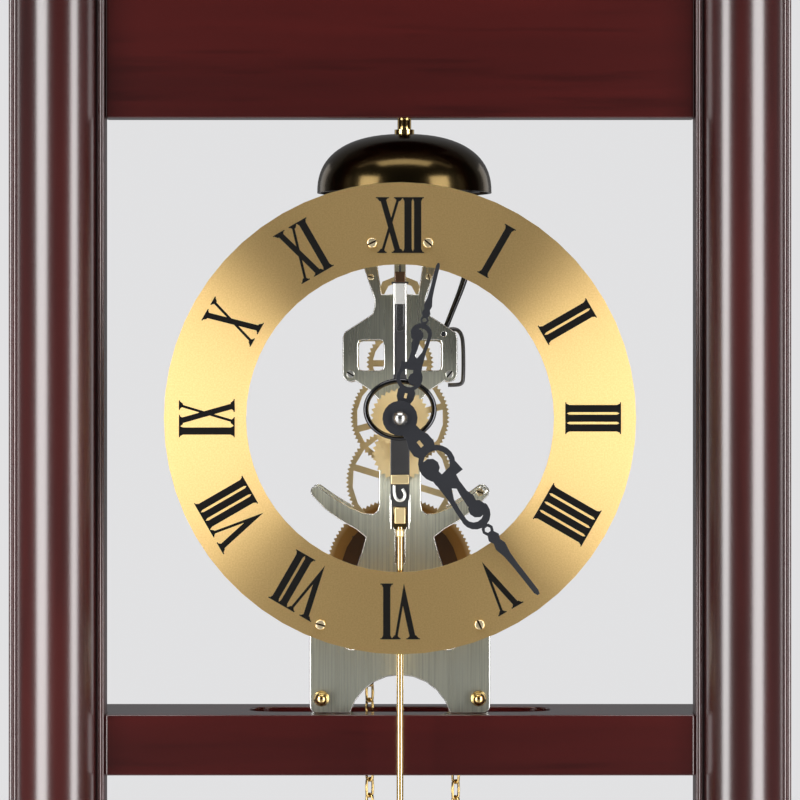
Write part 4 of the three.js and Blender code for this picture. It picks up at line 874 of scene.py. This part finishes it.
def makeWire(name, path, y, radius, material, body, closed=False, swells=()):  # path in x and z from the arbor
    curve = bpy.data.curves.new(name, "CURVE")
    curve.dimensions = "3D"
    curve.bevel_depth = radius * mm
    curve.bevel_resolution = wireSet["rings"]
    curve.use_fill_caps = True
    spline = curve.splines.new("NURBS")
    spline.points.add(len(path) - 1)
    for point, (x, z) in zip(spline.points, path):
        point.co = (x * mm, y * mm, handArborZ + z * mm, 1)
    for point, swell in zip(spline.points, swells):
        point.radius = swell
    spline.use_endpoint_u = not closed
    spline.use_cyclic_u = closed
    spline.order_u = wireSet["order"]
    spline.resolution_u = wireSet["steps"]
    wire = bpy.data.objects.new(name, curve)
    scene.collection.objects.link(wire)
    makeActive(wire)
    bpy.ops.object.convert(target="MESH")
    wire = bpy.context.object
    smoothEdges(wire, wireSet["smooth"])
    setMaterial(wire, material)
    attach(wire, body)


makeWire("hammer_spring", springSet["path"], springSet["y"], springSet["radius"], metals["darkSteel"], "root")
makeWire("hammer_arm", armSet["path"], armSet["y"], armSet["radius"], metals["ringSteel"], "striker",
         swells=armSet["swells"])  # the hammer's wire thickens towards its head
print("hammer spring and arm bent")


# fittings of the pendulum leader

leaderSet = {  # y is before the leader's middle, z from the arbor
    "middle": -56.0, "smooth": 40, "bevelSteps": 2,
    "clamp": {"size": (4.5, 5.5, 4.7), "y": 0, "z": 63, "bevel": 0.3},
    "plate": {"size": (4.2, 0.7, 9.2), "y": -0.8, "z": 55.6, "bevel": 0.15},
    "edge": {"x": 2.65, "y": -0.9, "heights": (60.2, 50, 30, 19.5), "radius": 0.36},
    "lip": {"x": 4.0, "y": -0.8, "heights": (-36.5, -42, -49.4), "radius": 0.3},
    "pin": {"path": [(-3.8, 60.3), (0, 60.3), (3.8, 60.3)], "y": -0.6, "radius": 0.6},
    "ring": {"across": 15.3, "up": 12.8, "z": 3.9, "y": -0.5, "points": 28, "radius": 1.2},
    "clip": {"size": (8.2, 2.4, 4.2), "y": -0.2, "z": -27.4, "bevel": 0.4},
    "hook": {"path": [(-2.6, -30), (-2.8, -34), (-1.2, -37), (1.6, -36.6), (2.6, -33.6), (1, -31.6)], "y": -1.2,
             "radius": 0.7},
    "block": {"size": (4.9, 2.6, 7.2), "y": -0.4, "z": -43.5, "bevel": 0.4},
    "collar": {"radius": 1.9, "length": 3.2, "z": -51.4, "sides": 24, "bevel": 0.4},
}


def finishFitting(piece, name, bevel, material):
    piece.name = name
    smoothEdges(piece, leaderSet["smooth"])
    softenEdges(piece, bevel * mm, leaderSet["bevelSteps"], leaderSet["smooth"])
    setMaterial(piece, material)
    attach(piece, "pendulum")


def addFitting(name, fitting, material):
    centre = (0, (leaderSet["middle"] + fitting["y"]) * mm, handArborZ + fitting["z"] * mm)
    piece = addBox([side * mm for side in fitting["size"]], centre)
    finishFitting(piece, name, fitting["bevel"], material)


def addLeaderWire(name, fitting, path, material, closed=False):
    makeWire(name, path, leaderSet["middle"] + fitting["y"], fitting["radius"], material, "pendulum",
             closed=closed)


def ringPath():
    ring = leaderSet["ring"]
    turns = [2 * math.pi * step / ring["points"] for step in range(ring["points"])]
    return [(ring["across"] * math.cos(turn), ring["z"] + ring["up"] * math.sin(turn)) for turn in turns]


def makeLeaderFittings():
    steel, brass = metals["satinSteel"], metals["wheelBrass"]
    addFitting("spring_clamp", leaderSet["clamp"], metals["bronzedSteel"])
    addFitting("leader_plate", leaderSet["plate"], steel)
    for side, sideName in ((-1, "left"), (1, "right")):
        for name, kind in (("leader_edge_", "edge"), ("fork_lip_", "lip")):
            fitting = leaderSet[kind]
            path = [(side * fitting["x"], height) for height in fitting["heights"]]
            addLeaderWire(name + sideName, fitting, path, steel)
    addLeaderWire("leader_pin", leaderSet["pin"], leaderSet["pin"]["path"], metals["darkSteel"])
    addLeaderWire("leader_ring", leaderSet["ring"], ringPath(), metals["ringSteel"], closed=True)
    addFitting("fork_clip", leaderSet["clip"], brass)
    addLeaderWire("rod_hook", leaderSet["hook"], leaderSet["hook"]["path"], steel)
    addFitting("rod_block", leaderSet["block"], brass)
    collar = leaderSet["collar"]
    centre = (0, leaderSet["middle"] * mm, handArborZ + collar["z"] * mm)
    rod = addRod(collar["radius"] * mm, collar["length"] * mm, centre, "z", collar["sides"])
    finishFitting(rod, "rod_collar", collar["bevel"], brass)


makeLeaderFittings()
print("leader fitted")


# linked chain

chainSet = {"pitch": 7.3, "width": 5.3, "wire": 1.25, "segments": 14, "sides": 8, "turn": 45, "level": 0.001,
            "smooth": 60}
wrapSet = {"arborZ": -71, "radius": 13.942, "bendX": 25.5, "bendZ": -47.0, "drop": 12, "steps": 40, "links": 14}


def makeLink():
    radius = (chainSet["width"] - chainSet["wire"]) / 2
    stretch = (chainSet["pitch"] + chainSet["wire"]) / 2 - radius
    clearSelection()
    bpy.ops.mesh.primitive_torus_add(major_radius=radius, minor_radius=chainSet["wire"] / 2,
                                     major_segments=chainSet["segments"], minor_segments=chainSet["sides"],
                                     rotation=(math.radians(90), 0, 0))
    link = bpy.context.object
    settle(link)
    for point in link.data.vertices:  # the ring is drawn out into a long link
        if abs(point.co.z) > chainSet["level"]:
            point.co.z += math.copysign(stretch, point.co.z)
    smoothEdges(link, chainSet["smooth"])
    return link


def makeChain(name, places):  # a link at each place, turned left and right by turns
    link = makeLink()
    pieces = []
    for index, place in enumerate(places):
        turn = math.radians(chainSet["turn"] if index % 2 else -chainSet["turn"])
        pieces.append(copyPiece(link, place @ Matrix.Rotation(turn, 4, "Z") @ Matrix.Scale(mm, 4)))
    removePiece(link)
    chain = joinPieces(pieces, name)
    setMaterial(chain, metals["polishedBrass"])
    return chain


def sprocketPath(count):  # round the sprocket, across to the guide pin and down
    radius, bendX, bendZ = wrapSet["radius"], wrapSet["bendX"], wrapSet["bendZ"]
    leave = math.atan2(bendZ, bendX) + math.acos(radius / math.hypot(bendX, bendZ))
    points = []
    for step in range(wrapSet["steps"] + 1):
        angle = math.pi + (leave - math.pi) * step / wrapSet["steps"]
        points.append(Vector((radius * math.cos(angle), 0, radius * math.sin(angle))))
    points += [Vector((bendX, 0, bendZ)), Vector((bendX, 0, bendZ - wrapSet["drop"]))]
    lengths = [0.0]
    for before, after in zip(points, points[1:]):
        lengths.append(lengths[-1] + (after - before).length)
    places = []
    for index in range(count):
        along = lengths[-1] * (index + 0.5) / count
        piece = max(i for i in range(len(points) - 1) if lengths[i] <= along)
        share = (along - lengths[piece]) / (lengths[piece + 1] - lengths[piece])
        run = points[piece + 1] - points[piece]
        places.append((points[piece] + run * share, math.atan2(run.x, run.z)))
    return places


def makeWrap():
    places = []
    for point, lean in sprocketPath(wrapSet["links"]):
        place = Matrix.Translation((point.x * mm, 0, handArborZ + (point.z + wrapSet["arborZ"]) * mm))
        places.append(place @ Matrix.Rotation(lean, 4, "Y"))
    wrap = makeChain("chain_wrap", places)
    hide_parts("chain_over_sprocket")
    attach(wrap, "root")


def makeStrand(name, x, node):
    top, bottom = nodeEnds(node)
    count = int(round((top - bottom) / chainSet["pitch"]))
    pitch = (top - bottom) / count
    heights = [top - pitch * (index + 0.5) for index in range(count)]
    strand = makeChain(name, [Matrix.Translation((x * mm, 0, height * mm)) for height in heights])
    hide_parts(node)
    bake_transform(strand)


makeWrap()
makeStrand("weight_strand", wrapSet["bendX"], "weight_chain")
makeStrand("ring_strand", -wrapSet["radius"], "ring_chain")
print("chain made")


# studio

floorSet = {"size": 24, "z": -0.0005, "pale": (0.86, 0.86, 0.87, 1), "paler": (0.88, 0.88, 0.88, 1),
            "noise": {"Scale": 3}, "roughness": 0.7, "farReach": (0.8, 4.0), "farGlow": (0.0, 0.72)}
worldSet = {"seen": (0.755, 0.755, 0.765, 1), "before": (0.05, 0.05, 0.052, 1), "behind": (0.15, 0.15, 0.154, 1),
            "facing": (0.6, -1)}
lightSet = {  # the low boxes are dimmer, for the lower half of the case
    "left_softbox": {"place": (-0.45, -0.42, 1.555), "aim": (0, 0, 1.555), "size": (0.28, 0.7), "power": 4.9},
    "right_softbox": {"place": (0.45, -0.42, 1.555), "aim": (0, 0, 1.555), "size": (0.28, 0.7), "power": 4.8},
    "left_low_softbox": {"place": (-0.45, -0.42, 0.78), "aim": (0, 0, 0.78), "size": (0.28, 0.85), "power": 1.8},
    "right_low_softbox": {"place": (0.45, -0.42, 0.78), "aim": (0, 0, 0.78), "size": (0.28, 0.85), "power": 1.8},
    "left_rim": {"place": (-1.3, 1.5, 1.4), "aim": (0, 0, 1.2), "size": (0.6, 2.0), "power": 3},
    "right_rim": {"place": (1.3, 1.5, 1.4), "aim": (0, 0, 1.2), "size": (0.6, 2.0), "power": 3},
    "overhead": {"place": (0, -0.3, 4.2), "aim": (0, 0, 0), "size": (3.0, 3.0), "power": 120},
}


def makeFloor():
    clearSelection()
    bpy.ops.mesh.primitive_plane_add(size=floorSet["size"], location=(0, 0, floorSet["z"]))
    floor = bpy.context.object
    floor.name = "studio_floor"
    material, nodes, links, shader = startMaterial("studio_pale")
    place = objectPlace(nodes)
    tone = mixColour(nodes, {"A": floorSet["pale"], "B": floorSet["paler"]})
    links.new(addNoise(nodes, links, place, floorSet["noise"]), tone.inputs["Factor"])
    links.new(tone.outputs["Result"], shader.inputs["Base Color"])
    shader.inputs["Roughness"].default_value = floorSet["roughness"]
    shader.inputs["Emission Color"].default_value = floorSet["pale"]
    far = addNode(nodes, "VectorMath", operation="LENGTH")  # the far floor stays as pale as the near one
    links.new(place, far.inputs[0])
    glow = remap(nodes, links, far.outputs["Value"], floorSet["farReach"], floorSet["farGlow"])
    rays = nodes.new("ShaderNodeLightPath")  # seen, but not mirrored in the lacquer
    seen = combineValues(nodes, links, "MULTIPLY", glow, rays.outputs["Is Camera Ray"])
    links.new(seen, shader.inputs["Emission Strength"])
    setMaterial(floor, material)


def makeWorld():
    world = bpy.data.worlds.new("studio_world")
    world.use_nodes = True
    nodes, links = world.node_tree.nodes, world.node_tree.links
    place = nodes.new("ShaderNodeTexCoord")
    split = nodes.new("ShaderNodeSeparateXYZ")
    links.new(place.outputs["Generated"], split.inputs["Vector"])
    mirrored = mixColour(nodes, {"A": worldSet["behind"], "B": worldSet["before"]})  # dimmer before the clock
    links.new(remap(nodes, links, split.outputs["Y"], worldSet["facing"]), mirrored.inputs["Factor"])
    tone = mixColour(nodes, {"B": worldSet["seen"]})  # a pale room to look at, a dimmer one for metals to mirror
    rays = nodes.new("ShaderNodeLightPath")
    links.new(mirrored.outputs["Result"], tone.inputs["A"])
    links.new(rays.outputs["Is Camera Ray"], tone.inputs["Factor"])
    links.new(tone.outputs["Result"], nodes["Background"].inputs["Color"])
    scene.world = world


def makeLight(name, values):
    bpy.ops.object.light_add(type="AREA", location=values["place"])
    light = bpy.context.object
    light.name = name
    light.data.shape = "RECTANGLE"
    light.data.size, light.data.size_y = values["size"]
    light.data.energy = values["power"]
    aim = Vector(values["aim"]) - Vector(values["place"])
    light.rotation_euler = aim.to_track_quat("-Z", "Y").to_euler()
    light.visible_camera = False


makeFloor()
makeWorld()
for name, values in lightSet.items():
    makeLight(name, values)
scene.view_settings.view_transform = "Standard"
print("studio lit")
